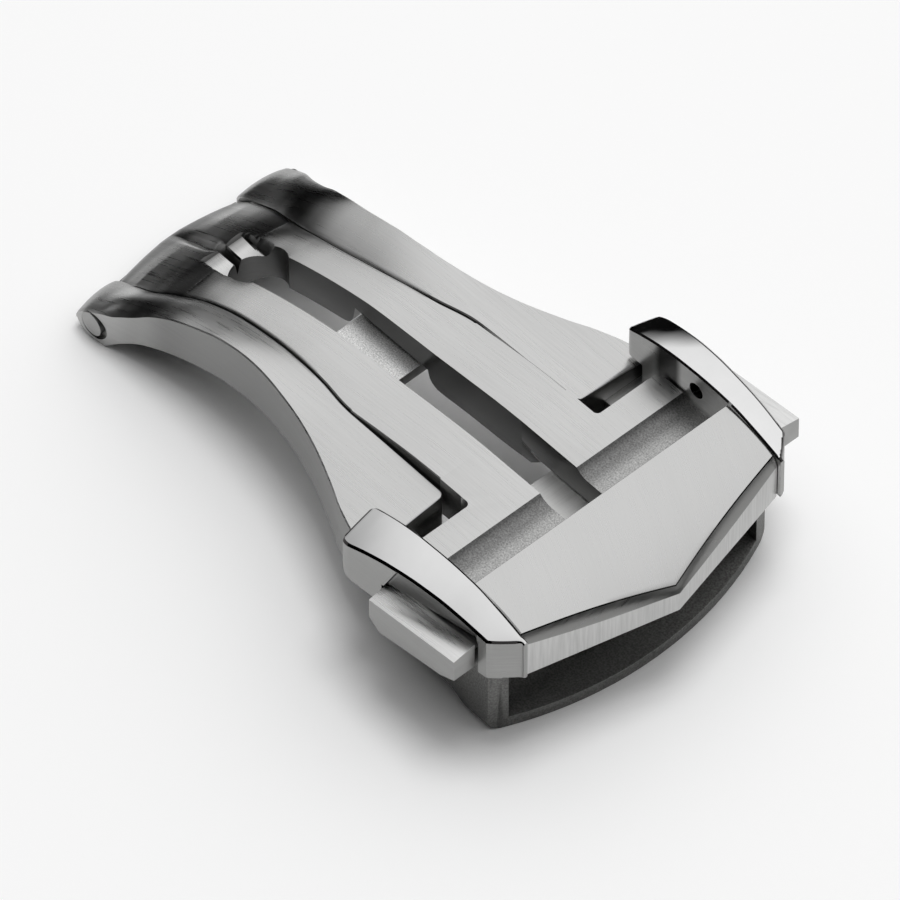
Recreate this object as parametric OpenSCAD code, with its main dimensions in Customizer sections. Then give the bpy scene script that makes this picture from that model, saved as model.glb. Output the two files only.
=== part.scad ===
// Single-fold deployant clasp for a leather watch strap.
// X runs from the hinge to the head, Y across the strap, Z up from the table.
// Lengths called "back" are measured from the horns' front tips towards the hinge.

/* [Strap and reach] */
// Gap between the two horns, which is the strap's width
strap_w = 18; // [16:0.25:20]
// Distance from the hinge pin to the horns' front tips
reach = 36.1; // [35:0.1:39]

/* [Hinge] */
// Width over the two outer knuckles
hinge_w = 14.9; // [14:0.1:16]
// Width over the centre knuckles
lobe_w = 8.6; // [8:0.1:9]
// How far the centre knuckles stand out behind the pin
nose = 2.2; // [1.8:0.05:2.4]
// How far the centre knuckles' ends fall back towards their sides
nose_rake = 0.6; // [0.4:0.05:0.8]
// Diameter of the hinge pin
pin_d = 1; // [0.8:0.05:1.1]
// Diameter of the pin's two swaged end discs
pin_head_d = 1.5; // [1.3:0.05:1.6]
// Thickness of the end discs
pin_head_t = 0.3; // [0.2:0.05:0.4]
// Diameter of the outer knuckles
knuckle_d = 2.4; // [2.2:0.05:2.6]
// Radial clearance of the pin in the knuckles that turn on it
run_gap = 0.03; // [0.02:0.01:0.06]
// Sideways gap between neighbouring knuckles and blades
blade_gap = 0.1; // [0.06:0.01:0.15]

/* [Arch of the blades] */
// Height of the arch's crest
crest_z = 7; // [6.5:0.1:7.5]
// Distance of the crest back from the horns' tips
crest_back = 20; // [19:0.1:21]
// Height of the arch straight above the hinge pin
spring_z = 2.1; // [1.9:0.05:2.3]
// Slope of the prongs from the arch up to the T-bar, in degrees
prong_slope = 4.7; // [4:0.1:5.5]
// Thickness of the centre blade's prongs
prong_t = 2.75; // [2.4:0.05:3]

/* [Centre blade] */
// Width over the prongs at their narrowest
groove_w = 7; // [6.6:0.1:7.4]
// Distance of that narrowest place back from the horns' tips
groove_back = 29; // [28:0.1:30]
// Radius of the prongs' flank towards the hinge
groove_r = 14; // [12:0.5:16]
// Radius of the prongs' flank towards the head
flare_r = 52; // [48:1:56]
// Width over the prongs where they meet the T-bar
prong_w = 9; // [8.6:0.1:9.4]
// Width of the slot between the prongs
slot_w = 2.6; // [2.2:0.1:3]
// Distance of the slot's rounded end from the hinge pin
slot_start = 3.7; // [3.4:0.1:4.4]
// Diameter of the slot's widened rounded end
slot_end_d = 3.3; // [2.8:0.1:3.5]
// How far the slot runs on under the cover plate
slot_lap = 0.8; // [0.6:0.1:1]
// Depth of the groove between the two centre lobes
vee_t = 0.45; // [0.3:0.05:0.5]
// Half the width of that groove
vee_w = 0.8; // [0.6:0.05:1]
// Distance of the dish milled at the slot's end from the hinge pin
dish_x = 4.1; // [3.8:0.05:4.4]
// Height of the dish's lowest point
dish_z = 3; // [2.8:0.05:3.3]
// Radius of the dish
dish_r = 2.7; // [2.4:0.05:3]
// Height of the T-bar's top
bar_z = 7.75; // [7.5:0.05:8]
// Thickness of the T-bar
bar_t = 2; // [1.8:0.05:2.1]
// Distance of the T-bar's rear edge back from the horns' tips
bar_back = 9.35; // [9.1:0.05:9.6]
// Distance of the cove's rear edge back from the horns' tips
cove_back = 7.45; // [7.2:0.05:7.7]
// Depth of the cove that the strap's end lies in
cove_t = 0.4; // [0.3:0.05:0.5]
// Radius of the cove's rear side
cove_r = 1.2; // [0.9:0.05:1.5]
// Sideways gap between the T-bar's arms and the horns
arm_gap = 0.1; // [0.05:0.01:0.15]
// Rounding of the T-bar's corners
bar_round = 0.8; // [0.5:0.1:1]

/* [Outer blade] */
// Width over the legs at their waist
waist_w = 12; // [11.6:0.1:12.4]
// Distance of the waist back from the horns' tips
waist_back = 26.4; // [26:0.1:27]
// Radius of the legs' outer edge at the waist
waist_r = 25; // [24:0.5:27]
// Sideways turn of the arch on the legs, in degrees
leg_turn = 8; // [6:0.5:10]
// Rise of the legs' arched top towards the outer edge, in degrees
leg_lift = 6; // [4:0.5:7]
// Fall of the legs' flat top towards the outer edge, in degrees
leg_fall = 4; // [3:0.5:6]
// Radius of the legs' lower edge
under_r = 25.5; // [24:0.5:27]
// Height of the lower edge at its crest
under_z = 3.75; // [3.5:0.05:3.9]
// Height of the lower edge at the legs' ends
leg_foot = 3.1; // [3:0.05:3.3]
// Distance of the legs' ends back from the horns' tips
leg_back = 11.1; // [10.9:0.05:11.3]
// Sideways gap between leg and prong at the legs' ends
leg_end_gap = 0.4; // [0.3:0.05:0.5]
// Distance of the bridge's middle back from the horns' tips
bridge_back = 22; // [21.5:0.1:22.5]
// Length of the bridge along the blades
bridge_l = 4.7; // [4:0.1:5]
// Height of the bridge's top
bridge_z = 5.3; // [5.1:0.05:5.35]
// Thickness of the bridge
bridge_t = 0.75; // [0.6:0.05:0.8]
// Clearance between the bridge and the prongs around it
bridge_gap = 0.15; // [0.1:0.05:0.2]

/* [Horns] */
// Length of the horns
horn_l = 11.95; // [11.7:0.05:12.2]
// Width of the horns at the rear end
horn_w = 2.5; // [2.3:0.05:2.7]
// Width of the horns where the front end starts to slant
horn_front_w = 1.65; // [1.5:0.05:1.8]
// Length of the slanting front end
horn_slant = 1.45; // [1.2:0.05:1.6]
// How far the rear end slants forward towards the outer side
horn_skew = 0.25; // [0.15:0.05:0.35]
// Height of the horns' top arc on the inner edge
horn_z = 10; // [9.8:0.05:10.3]
// Distance of the arc's highest point back from the horns' tips
horn_peak = 6.5; // [6:0.1:7]
// Radius of the top arc
horn_r = 16; // [15:0.5:17]
// Outward fall of the horns' top, in degrees
horn_fall = 17; // [14:0.5:20]
// Height of the horns' underside
horn_foot = 5.4; // [5.3:0.05:5.5]
// Rounding of the horns' lower rear corner
horn_round = 1; // [0.6:0.1:1.4]
// Rounding of the horns' lower front corner
horn_toe_round = 0.3; // [0.2:0.05:0.4]
// Diameter of the spring-bar holes
bar_hole_d = 1; // [0.8:0.05:1.1]
// Depth of the spring-bar holes
bar_hole_l = 1.3; // [1:0.1:1.5]
// Distance of the spring-bar holes back from the horns' tips
bar_hole_back = 6.55; // [6.3:0.05:6.8]
// Height of the spring-bar holes
bar_hole_z = 8.6; // [8.5:0.05:8.7]
// Diameter of the dowels that locate the horns
dowel_d = 0.8; // [0.7:0.05:0.9]
// Length of the dowels
dowel_l = 1.6; // [1.4:0.05:1.7]
// Distance of the rear dowel back from the horns' tips
dowel_rear_back = 8.65; // [8.5:0.05:8.8]
// Height of the rear dowel
dowel_rear_z = 6.7; // [6.5:0.05:6.8]
// Distance of the front dowel back from the horns' tips
dowel_front_back = 2.2; // [2:0.05:2.4]
// Height of the front dowel
dowel_front_z = 8.15; // [8.05:0.05:8.25]

/* [Cover plate] */
// Distance of the plate's rear edge back from the horns' tips
plate_back = 4.2; // [4.1:0.05:4.4]
// How far the plate's point stands ahead of the horns' tips
plate_tip = 1.95; // [1.7:0.05:2.2]
// How far the plate's shoulders lie back from the horns' tips
plate_shoulder = 0.25; // [0.15:0.05:0.35]
// Height of the plate's crest
plate_z = 9.56; // [9.4:0.02:9.7]
// Radius of the plate's dome
plate_r = 10; // [9.5:0.1:11]
// Distance of the dome's crest back from the horns' tips
plate_crest = 4.7; // [4.5:0.05:4.9]
// Height of the lower edge of the plate's front wall
plate_foot = 5.5; // [5.4:0.05:5.6]
// Thickness of the plate's front wall
plate_wall = 0.9; // [0.8:0.05:1]
// Sideways gap between the plate and the horns
plate_gap = 0.08; // [0.05:0.01:0.1]
// Diameter of the cover screws
screw_d = 0.8; // [0.7:0.05:0.85]
// Diameter of the cover screws' heads
screw_head_d = 1.3; // [1.2:0.05:1.35]
// Thickness of the cover screws' heads
screw_head_t = 0.4; // [0.3:0.05:0.5]
// Sideways distance between the cover screws
screw_w = 5.2; // [5:0.1:5.6]
// Distance of the cover screws back from the horns' tips
screw_back = 0.42; // [0.35:0.01:0.45]
// How far the screws reach into the plate
screw_grip = 0.7; // [0.5:0.05:0.8]
// Width of the screws' driver slots
driver_w = 0.2; // [0.15:0.01:0.25]
// Depth of the screws' driver slots
driver_t = 0.15; // [0.1:0.01:0.2]

/* [Pushers] */
// How far the pushers stand out beyond the strap's edge
pusher_out = 3.27; // [3.1:0.01:3.4]
// Travel of the pushers
pusher_travel = 0.8; // [0.6:0.05:0.8]
// Distance of the pushers' front end back from the horns' tips
pusher_front = 2.1; // [2:0.05:2.2]
// Length of the pushers along the clasp
pusher_l = 6.6; // [6.4:0.05:6.7]
// Height of the pushers' top at the front end
pusher_z = 7.65; // [7.5:0.05:7.7]
// Fall of the pushers' top towards the rear end
pusher_drop = 0.8; // [0.6:0.05:0.9]
// Thickness of the pushers at the front end
pusher_t = 1.5; // [1.4:0.05:1.55]
// Thickness of the pushers at the rear end
pusher_rear_t = 1.35; // [1.2:0.05:1.5]
// Height of the pushers' lowest corner
pusher_foot = 4.87; // [4.8:0.01:5]
// Length of the slope from the rear end to that corner
pusher_heel = 0.8; // [0.6:0.05:1]
// Length of the slope at the lower front corner
pusher_toe = 1.1; // [0.9:0.05:1.3]
// Rise of that slope
pusher_toe_rise = 0.47; // [0.35:0.01:0.55]
// Clearance all round the pushers in the horns
pusher_gap = 0.1; // [0.06:0.01:0.12]
// Distance of the neck's rear side back from the horns' tips
neck_rear_back = 7.8; // [7.6:0.05:7.9]
// Distance of the neck's front side back from the horns' tips
neck_front_back = 2.3; // [2.2:0.05:2.5]
// Height of the underside of neck and tongue
tongue_foot = 6.05; // [6.02:0.01:6.1]
// Thickness of neck and tongue
tongue_t = 1.2; // [1.1:0.02:1.22]
// Distance of the tongue's rear side back from the horns' tips
tongue_rear_back = 4; // [3.9:0.05:4.1]
// Distance of the tongue's front side back from the horns' tips
tongue_front_back = 1.5; // [1.4:0.05:1.6]
// How far tongue and neck overlap sideways
tongue_lap = 0.2; // [0.15:0.05:0.3]
// How far in from the strap's edge the tongue reaches
tongue_in = 4.2; // [4:0.1:4.4]
// Width of the hook finger along the clasp
finger_w = 1.6; // [1.4:0.05:1.8]
// Thickness of the hook finger
finger_t = 0.9; // [0.8:0.05:1]
// Height of the hook's lower end
hook_foot = 4.3; // [4.25:0.01:4.35]
// Thickness of the hook's nose
hook_t = 0.6; // [0.5:0.05:0.65]
// How far the nose reaches into the catch
hook_bite = 0.4; // [0.35:0.05:0.5]
// Clearance of the nose in its catch
hook_gap = 0.12; // [0.08:0.01:0.15]
// Outer diameter of the pushers' springs
spring_d = 1; // [0.9:0.05:1.05]
// Wire of the pushers' springs
spring_wire = 0.18; // [0.14:0.01:0.2]
// Turns of the pushers' springs
spring_turns = 6; // [4:1:8]
// Diameter of the guide pins in the springs
guide_d = 0.5; // [0.4:0.05:0.55]
// How far the guide pins reach into the tongues
guide_grip = 1.6; // [1.2:0.1:2]
// How far the guide pins are pressed into the T-bar
guide_seat = 0.8; // [0.6:0.05:0.9]
// Wall between the slot and the ends of the pushers' channels
channel_wall = 0.3; // [0.25:0.05:0.5]
// Clearance of the hook fingers in the cross-member, for swinging out
swing_gap = 0.3; // [0.25:0.05:0.4]

/* [Strap loop] */
// Width over the loop's side walls
loop_w = 19.8; // [19.6:0.05:19.85]
// Thickness of the side walls
loop_wall = 1.05; // [1:0.05:1.1]
// Height of the loop's top
loop_z = 5.6; // [5.5:0.02:5.62]
// Thickness of the cross-member at the top
cross_t = 0.7; // [0.6:0.05:0.75]
// Distance of the cross-member's rear edge back from the horns' tips
cross_rear_back = 9.5; // [9.3:0.05:9.7]
// Distance of the cross-member's front edge back from the horns' tips
cross_front_back = 1.2; // [1:0.05:1.4]
// Radius of the bowed front
bow_r = 22.5; // [20:0.5:26]
// How far the bow stands ahead of the horns' tips
bow_out = 0.22; // [0.1:0.02:0.4]
// Thickness of the bottom band
band_t = 0.75; // [0.65:0.05:0.8]
// Distance of the band's rear edge back from the horns' tips
band_back = 4.9; // [4.7:0.05:5.1]
// Height of the band's rear edge
band_rise = 1.15; // [1:0.05:1.3]
// Distance of the bend in the band's rise back from the horns' tips
bend_back = 3.4; // [3.2:0.05:3.6]
// Height of the band's underside at that bend
bend_z = 0.2; // [0.1:0.02:0.3]
// Distance of the band's flat stretch back from the horns' tips
flat_back = 2.1; // [1.9:0.05:2.4]
// Width of the two rear lugs that are riveted to the legs
lug_w = 3.2; // [2.8:0.1:3.4]
// Length of the rear lugs
lug_l = 1; // [0.8:0.05:1.1]
// Diameter of the rivets
rivet_d = 0.9; // [0.8:0.05:1]
// Length of the rivets
rivet_l = 2.6; // [2.2:0.1:2.8]

/* [Clamp flap] */
// Distance of the flap's pin back from the horns' tips
clamp_back = 10.2; // [10.1:0.05:10.3]
// Height of the flap's pin
clamp_z = 2.35; // [2.2:0.05:2.4]
// Diameter of the flap's pin
clamp_pin_d = 0.9; // [0.8:0.05:0.9]
// Diameter of the flap's knuckle
clamp_knuckle_d = 1.7; // [1.6:0.05:1.8]
// Thickness of the flap
clamp_t = 0.8; // [0.7:0.05:0.85]
// Sideways gap between the flap and the side walls
clamp_gap = 0.12; // [0.08:0.01:0.2]
// Gap between the flap's tip and the band
clamp_tip_gap = 0.25; // [0.2:0.05:0.4]
// Number of the flap's gripping teeth
teeth = 3; // [2:1:4]
// Height of the teeth
tooth_h = 0.4; // [0.3:0.05:0.5]
// Distance from one tooth to the next
tooth_step = 1; // [0.8:0.05:1.1]
// Length of a tooth at its base
tooth_l = 0.6; // [0.4:0.05:0.7]
// Width of the toothed stretch across the strap
tooth_w = 13; // [10:0.5:14]

/* [Hidden] */
$fn = 96;
small_fn = 32;
touch_turn = 4;
floor_gap = 0.05;
fit = 0.04;
half_strap = strap_w / 2;
half_wall = loop_w / 2;
wall_in = half_wall - loop_wall;
pin_z = knuckle_d / 2;
crest_x = reach - crest_back;
arch_dz = crest_z - spring_z;
arch_r = (crest_x * crest_x + arch_dz * arch_dz) / (2 * arch_dz);
arch_z = crest_z - arch_r;
rise_x = crest_x - arch_r * sin(prong_slope);
rise_z = arch_z + arch_r * cos(prong_slope);
top_x = rise_x + (bar_z - rise_z) / tan(prong_slope);
bar_x = reach - bar_back;
bar_foot = bar_z - bar_t;
seat_z = bar_z - cove_t;
arm_h = half_strap - arm_gap;
cove_x = reach - cove_back + sqrt(cove_r * cove_r - pow(cove_r - cove_t, 2));
slot_x = slot_start + slot_end_d / 2;
groove_x = reach - groove_back;
groove_h = groove_w / 2;
prong_h = prong_w / 2;
lobe_h = lobe_w / 2;
kink_x = groove_x + sqrt(flare_r * flare_r - pow(flare_r + groove_h - prong_h, 2));
waist_x = reach - waist_back;
waist_h = waist_w / 2;
leg_x = reach - leg_back;
bridge_x = reach - bridge_back;
plate_h = half_strap - plate_gap;
screw_x = reach - screw_back;
tongue_x = reach - tongue_rear_back;
tongue_w = tongue_rear_back - tongue_front_back;
tongue_h = half_strap - tongue_in;
tongue_mid = tongue_x + tongue_w / 2;
hook_h = wall_in - hook_gap;
pusher_x = reach - pusher_front - pusher_l;
button_h = half_wall + pusher_travel + pusher_gap;
neck_h = arm_h + pusher_travel + pusher_gap;
tongue_out = neck_h + tongue_lap;
tongue_top = tongue_foot + tongue_t;
guide_z = tongue_foot + tongue_t / 2;
channel_h = slot_w / 2 + channel_wall;
neck_x = reach - neck_rear_back;
neck_w = neck_rear_back - neck_front_back;
finger_x = tongue_mid - finger_w / 2;
finger_h = hook_h - finger_t;
clamp_x = reach - clamp_back;
ear_r = clamp_knuckle_d / 2 + blade_gap;
lug_foot = clamp_z + clamp_knuckle_d / 2 + clamp_gap;
band_x = reach - band_back;
bend_x = reach - bend_back;
flat_x = reach - flat_back;
front_x = reach + plate_tip;
flap_tip_x = band_x - clamp_tip_gap;
flap_tip_z = band_rise + blade_gap;
middle = (reach + plate_tip - nose) / 2;

// Moves a piece from the hinge pin's frame to the middle of the clasp
module place() {
    translate([-middle, 0, 0]) children();
}

// Both sides of the clasp from one half
module both() {
    children();
    mirror([0, 1, 0]) children();
}

// Slab from a side view drawn in X and Z, from one Y to another
module side_slab(from, to) {
    translate([0, to, 0]) rotate([90, 0, 0]) linear_extrude(to - from) children();
}

// Round bar along Y
module rod(x, z, d, from, to) {
    translate([x, to, z]) rotate([90, 0, 0]) cylinder(d = d, h = to - from, $fn = small_fn * 2);
}

// Plan of the prongs on one side, grown by a gap
module prong_plan(gap) {
    difference() {
        translate([-2 * nose, 0]) square([bar_x + bar_round + 2 * nose, prong_h + gap]);
        translate([-2 * nose, lobe_h + gap]) square([groove_x + 2 * nose, prong_h]);
        intersection() {
            translate([groove_x, groove_h + groove_r]) circle(groove_r - gap);
            square([groove_x, groove_r]);
        }
        intersection() {
            translate([groove_x, groove_h + flare_r]) circle(flare_r - gap, $fn = 4 * $fn);
            translate([groove_x, 0]) square([bar_x, groove_r]);
        }
    }
}

// Point just inside the circle around c, a few degrees past where a line from p touches it
function past_touch(p, c, r) =
    let (d = c - p, a = atan2(d[1], d[0]) - asin(min(1, r / norm(d))) + touch_turn)
    c + (r - fit) * [sin(a), -cos(a)];

// Plan of one leg out to its flared outer edge
module leg_plan() {
    c = [waist_x, waist_h + waist_r];
    p = [-knuckle_d / 2, hinge_w / 2];
    t = past_touch(p, c, waist_r);
    difference() {
        polygon([[p[0], 0], p, t, [t[0], strap_w], [leg_x, strap_w], [leg_x, 0]]);
        translate(c) circle(waist_r, $fn = 2 * $fn);
        translate([0, half_wall]) square([reach, strap_w]);
        prong_plan(blade_gap);
        translate([kink_x, 0]) polygon([[0, 0], [reach, 0], [reach, prong_h + leg_end_gap],
            [leg_x - kink_x, prong_h + leg_end_gap], [0, prong_h + blade_gap]]);
    }
}

// What is cut away above the arch on one leg, which twists towards its outer edge
module above_leg() {
    difference() {
        translate([-2 * nose, 0, 0]) cube([2 * nose + crest_x, strap_w, 2 * crest_z]);
        translate([crest_x, prong_h, crest_z]) rotate([leg_lift, 0, leg_turn]) translate([0, 0, -arch_r])
            rotate([90, 0, 0]) cylinder(r = arch_r, h = 2 * strap_w, center = true, $fn = 2 * $fn);
    }
    translate([-2 * nose, prong_h, crest_z]) rotate([-leg_fall, 0, 0])
        translate([0, -strap_w, 0]) cube([reach, 2 * strap_w, crest_z]);
}

// Side view of what is cut away below one leg and round its knuckle
module below_leg() {
    intersection() {
        translate([bridge_x, under_z - under_r]) circle(under_r, $fn = 2 * $fn);
        translate([knuckle_d / 3, -crest_z]) square([reach, 2 * crest_z]);
    }
    translate([bridge_x + bridge_l, -crest_z]) square([reach, leg_foot + crest_z]);
    difference() {
        translate([-knuckle_d, -knuckle_d]) square([knuckle_d, pin_z + knuckle_d]);
        translate([0, pin_z]) circle(d = knuckle_d);
    }
}

module leg() {
    difference() {
        linear_extrude(1.5 * crest_z) leg_plan();
        above_leg();
        side_slab(0, strap_w) below_leg();
    }
}

module outer_blade() {
    color("silver") difference() {
        union() {
            both() leg();
            translate([bridge_x - bridge_l / 2, -prong_h - blade_gap, bridge_z - bridge_t])
                cube([bridge_l, prong_w + 2 * blade_gap, bridge_t]);
        }
        rod(0, pin_z, pin_d + fit, -strap_w, strap_w);
        both() rod(0, pin_z, pin_head_d + fit, hinge_w / 2 - pin_head_t, strap_w);
        both() loop_rivet(fit);
    }
}

// One rivet's shank along X through lug and leg
module loop_rivet(gap) {
    translate([leg_x + lug_l - rivet_l, half_wall - lug_w / 2, (leg_foot + loop_z) / 2])
        rotate([0, 90, 0]) cylinder(d = rivet_d + gap, h = rivet_l, $fn = small_fn);
}

module loop_rivets() {
    color("gainsboro") both() loop_rivet(0);
}

// Side view of the loop's side wall
module loop_side() {
    polygon([[leg_x, leg_foot], [clamp_x - ear_r, clamp_z], [clamp_x, clamp_z - ear_r],
             [clamp_x + ear_r, clamp_z - ear_r], [band_x, band_rise], [bend_x, bend_z], [flat_x, 0],
             [front_x, 0], [front_x, loop_z], [leg_x, loop_z]]);
}

// Side view of the bottom band
module band_side() {
    polygon([[band_x, band_rise], [bend_x, bend_z], [flat_x, 0], [front_x, 0], [front_x, band_t],
             [flat_x, band_t], [bend_x, bend_z + band_t], [band_x, band_rise + band_t]]);
}

module strap_loop() {
    color("gray") difference() {
        intersection() {
            union() {
                both() side_slab(wall_in, half_wall) loop_side();
                side_slab(-wall_in, wall_in) band_side();
                translate([reach - cross_rear_back, -wall_in, loop_z - cross_t])
                    cube([cross_rear_back - cross_front_back, 2 * wall_in, cross_t]);
                both() translate([leg_x, half_wall - lug_w, lug_foot])
                    cube([lug_l, lug_w, loop_z - lug_foot]);
            }
            translate([reach + bow_out - bow_r, 0, -bar_t])
                cylinder(r = bow_r, h = crest_z + bar_t, $fn = 2 * $fn);
        }
        both() {
            translate([finger_x - swing_gap, finger_h - pusher_travel - swing_gap, loop_z - 2 * cross_t])
                cube([finger_w + 2 * swing_gap, wall_in - finger_h + pusher_travel + swing_gap, 3 * cross_t]);
            translate([finger_x - hook_gap, wall_in - loop_wall, hook_foot - hook_gap])
                cube([finger_w + 2 * hook_gap, loop_wall + hook_bite + hook_gap, hook_t + 2 * hook_gap]);
            loop_rivet(fit);
        }
        rod(clamp_x, clamp_z, clamp_pin_d + fit, -strap_w, strap_w);
    }
}

// Side view of the arched centre blade
module blade_side() {
    intersection() {
        union() {
            difference() {
                translate([crest_x, arch_z]) circle(arch_r, $fn = 2 * $fn);
                translate([crest_x, arch_z]) circle(arch_r - prong_t, $fn = 2 * $fn);
                translate([rise_x, -crest_z]) square([reach, 4 * crest_z]);
            }
            translate([0, pin_z]) circle(d = knuckle_d - 2 * floor_gap);
        }
        translate([-2 * nose, floor_gap]) square([reach, 2 * crest_z]);
    }
    polygon([[rise_x, rise_z], [top_x, bar_z], [bar_x + bar_round, bar_z], [bar_x + bar_round, bar_foot],
             [bar_x - bar_round, bar_foot], [bar_x - 2 * bar_round, bar_z - prong_t],
             [rise_x, rise_z - prong_t / cos(prong_slope)]]);
}

// Plan of the cover plate on both sides, drawn in by a distance
module plate_plan(inset) {
    offset(delta = -inset) polygon([[reach - plate_back, -plate_h], [reach - plate_shoulder, -plate_h],
        [reach + plate_tip, 0], [reach - plate_shoulder, plate_h], [reach - plate_back, plate_h]]);
}

// The T-bar with its cove, from the rear edge to inside the plate's front wall
module t_bar() {
    difference() {
        translate([0, 0, bar_foot]) linear_extrude(bar_t) {
            translate([bar_x + bar_round, -arm_h + bar_round]) circle(bar_round, $fn = small_fn);
            translate([bar_x + bar_round, arm_h - bar_round]) circle(bar_round, $fn = small_fn);
            translate([bar_x + bar_round, -arm_h])
                square([bar_back - plate_shoulder - plate_wall - 2 * bar_round, 2 * arm_h]);
            translate([bar_x, bar_round - arm_h]) square([bar_back - plate_back, 2 * (arm_h - bar_round)]);
            plate_plan(plate_wall + blade_gap);
            both() translate([bar_x - bar_round, prong_h]) difference() {
                translate([0, -bar_round]) square([bar_round, 2 * bar_round]);
                translate([0, bar_round]) circle(bar_round, $fn = small_fn);
            }
        }
        translate([cove_x, -strap_w, seat_z]) cube([2 * cove_back, 2 * strap_w, bar_t]);
        rod(cove_x, seat_z + cove_r, 2 * cove_r, -strap_w, strap_w);
    }
}

module centre_blade() {
    color("silver") difference() {
        union() {
            intersection() {
                side_slab(-strap_w, strap_w) blade_side();
                linear_extrude(2 * crest_z) difference() {
                    both() prong_plan(0);
                    both() polygon([[-2 * nose, 0], [-nose, 0], [nose_rake - nose, prong_h],
                        [-2 * nose, prong_h]]);
                }
            }
            t_bar();
        }
        rod(0, pin_z, pin_d + 2 * run_gap, -strap_w, strap_w);
        translate([crest_x, 0, arch_z]) rotate([90, 0, 0]) rotate_extrude($fn = 2 * $fn)
            polygon([[arch_r - vee_t, 0], [arch_r + vee_t, 2 * vee_w], [arch_r + vee_t, -2 * vee_w]]);
        translate([dish_x, 0, dish_z + dish_r]) sphere(dish_r);
        linear_extrude(2 * crest_z) {
            translate([slot_x, 0]) circle(d = slot_end_d, $fn = small_fn * 2);
            translate([slot_x, -slot_w / 2]) square([reach - plate_back + slot_lap - slot_x, slot_w]);
        }
        translate([bridge_x - bridge_l / 2 - bridge_gap, -strap_w, 0])
            cube([bridge_l + 5 * bridge_gap, 2 * strap_w, bridge_z + bridge_gap]);
        both() {
            translate([tongue_x - pusher_gap, channel_h, tongue_foot - floor_gap])
                cube([tongue_w + 2 * pusher_gap, strap_w, bar_t]);
            translate([finger_x - pusher_gap, finger_h - pusher_travel - pusher_gap, bar_foot - bar_t / 2])
                cube([finger_w + 2 * pusher_gap, strap_w, bar_t]);
            cover_screw(fit);
            horn_dowels(fit);
            spring_guide(fit);
        }
    }
}

module hinge_pin() {
    color("gray") {
        rod(0, pin_z, pin_d, -hinge_w / 2, hinge_w / 2);
        both() rod(0, pin_z, pin_head_d, hinge_w / 2 - pin_head_t, hinge_w / 2);
    }
}

// Side view of a horn below its top arc
module horn_side() {
    x0 = reach - horn_l;
    hull() {
        translate([x0 + horn_round, horn_foot + horn_round]) circle(horn_round, $fn = small_fn);
        translate([x0, horn_foot + 2 * horn_round]) square([horn_l, horn_z]);
        translate([reach - horn_toe_round, horn_foot + horn_toe_round])
            circle(horn_toe_round, $fn = small_fn);
    }
}

// Side view of a pusher's button, grown by a gap
module button_side(gap) {
    rear = pusher_z - pusher_drop;
    toe = pusher_z - pusher_t;
    offset(delta = gap) polygon([[pusher_x, rear], [pusher_x, rear - pusher_rear_t],
        [pusher_x + pusher_heel, pusher_foot], [pusher_x + pusher_l - pusher_toe, toe - pusher_toe_rise],
        [pusher_x + pusher_l, toe], [pusher_x + pusher_l, pusher_z]]);
}

// Horn on the positive Y side
module horn() {
    x0 = reach - horn_l;
    difference() {
        intersection() {
            linear_extrude(2 * horn_z) polygon([[x0, half_strap],
                [x0 + horn_skew, half_strap + horn_w], [reach - horn_slant, half_strap + horn_front_w],
                [reach, half_strap]]);
            side_slab(half_strap, half_strap + horn_w) horn_side();
            translate([reach - horn_peak, half_strap, horn_z]) rotate([-horn_fall, 0, 0])
                translate([0, 0, -horn_r]) rotate([90, 0, 0])
                    cylinder(r = horn_r, h = 6 * horn_w, center = true, $fn = 2 * $fn);
        }
        // room for the leg's outer edge and the loop's side wall
        cube([2 * reach, half_wall + blade_gap, loop_z + pusher_gap]);
        cube([leg_x + leg_end_gap, half_wall + blade_gap, crest_z]);
        // the pusher's window and the neck's channel
        side_slab(half_wall + pusher_gap, strap_w) {
            button_side(pusher_gap);
            translate([pusher_x - pusher_gap, 0]) square([pusher_l + 2 * pusher_gap, tongue_foot]);
        }
        translate([neck_x - pusher_gap, 0, 0])
            cube([neck_w + 2 * pusher_gap, strap_w, tongue_top + pusher_gap]);
        translate([tongue_x - pusher_gap, 0, 0])
            cube([tongue_w + 2 * pusher_gap, tongue_out + pusher_gap, tongue_top + pusher_gap]);
        rod(reach - bar_hole_back, bar_hole_z, bar_hole_d, 0, half_strap + bar_hole_l);
        horn_dowels(fit);
    }
}

module horn_left() {
    color("whitesmoke") horn();
}

module horn_right() {
    color("whitesmoke") mirror([0, 1, 0]) horn();
}

// The two dowels of the positive Y side, grown by a gap in diameter
module horn_dowels(gap) {
    from = half_strap - dowel_l / 2;
    rod(reach - dowel_rear_back, dowel_rear_z, dowel_d + gap, from, from + dowel_l);
    rod(reach - dowel_front_back, dowel_front_z, dowel_d + gap, from, from + dowel_l);
}

module horn_dowels_left() {
    color("gray") horn_dowels(0);
}

module horn_dowels_right() {
    color("gray") mirror([0, 1, 0]) horn_dowels(0);
}

module cover_plate() {
    color("silver") difference() {
        intersection() {
            union() {
                translate([0, 0, seat_z]) linear_extrude(bar_t * 2) plate_plan(0);
                difference() {
                    translate([0, 0, plate_foot]) linear_extrude(bar_t * 2) plate_plan(0);
                    linear_extrude(seat_z * 2) plate_plan(plate_wall);
                    translate([0, -strap_w, 0])
                        cube([reach - plate_shoulder - plate_wall, 2 * strap_w, seat_z * 2]);
                }
            }
            translate([reach - plate_crest, 0, plate_z - plate_r]) rotate([90, 0, 0])
                cylinder(r = plate_r, h = 2 * strap_w, center = true, $fn = 2 * $fn);
        }
        both() {
            cover_screw(fit);
            horn_dowels(fit);
        }
    }
}

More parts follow.
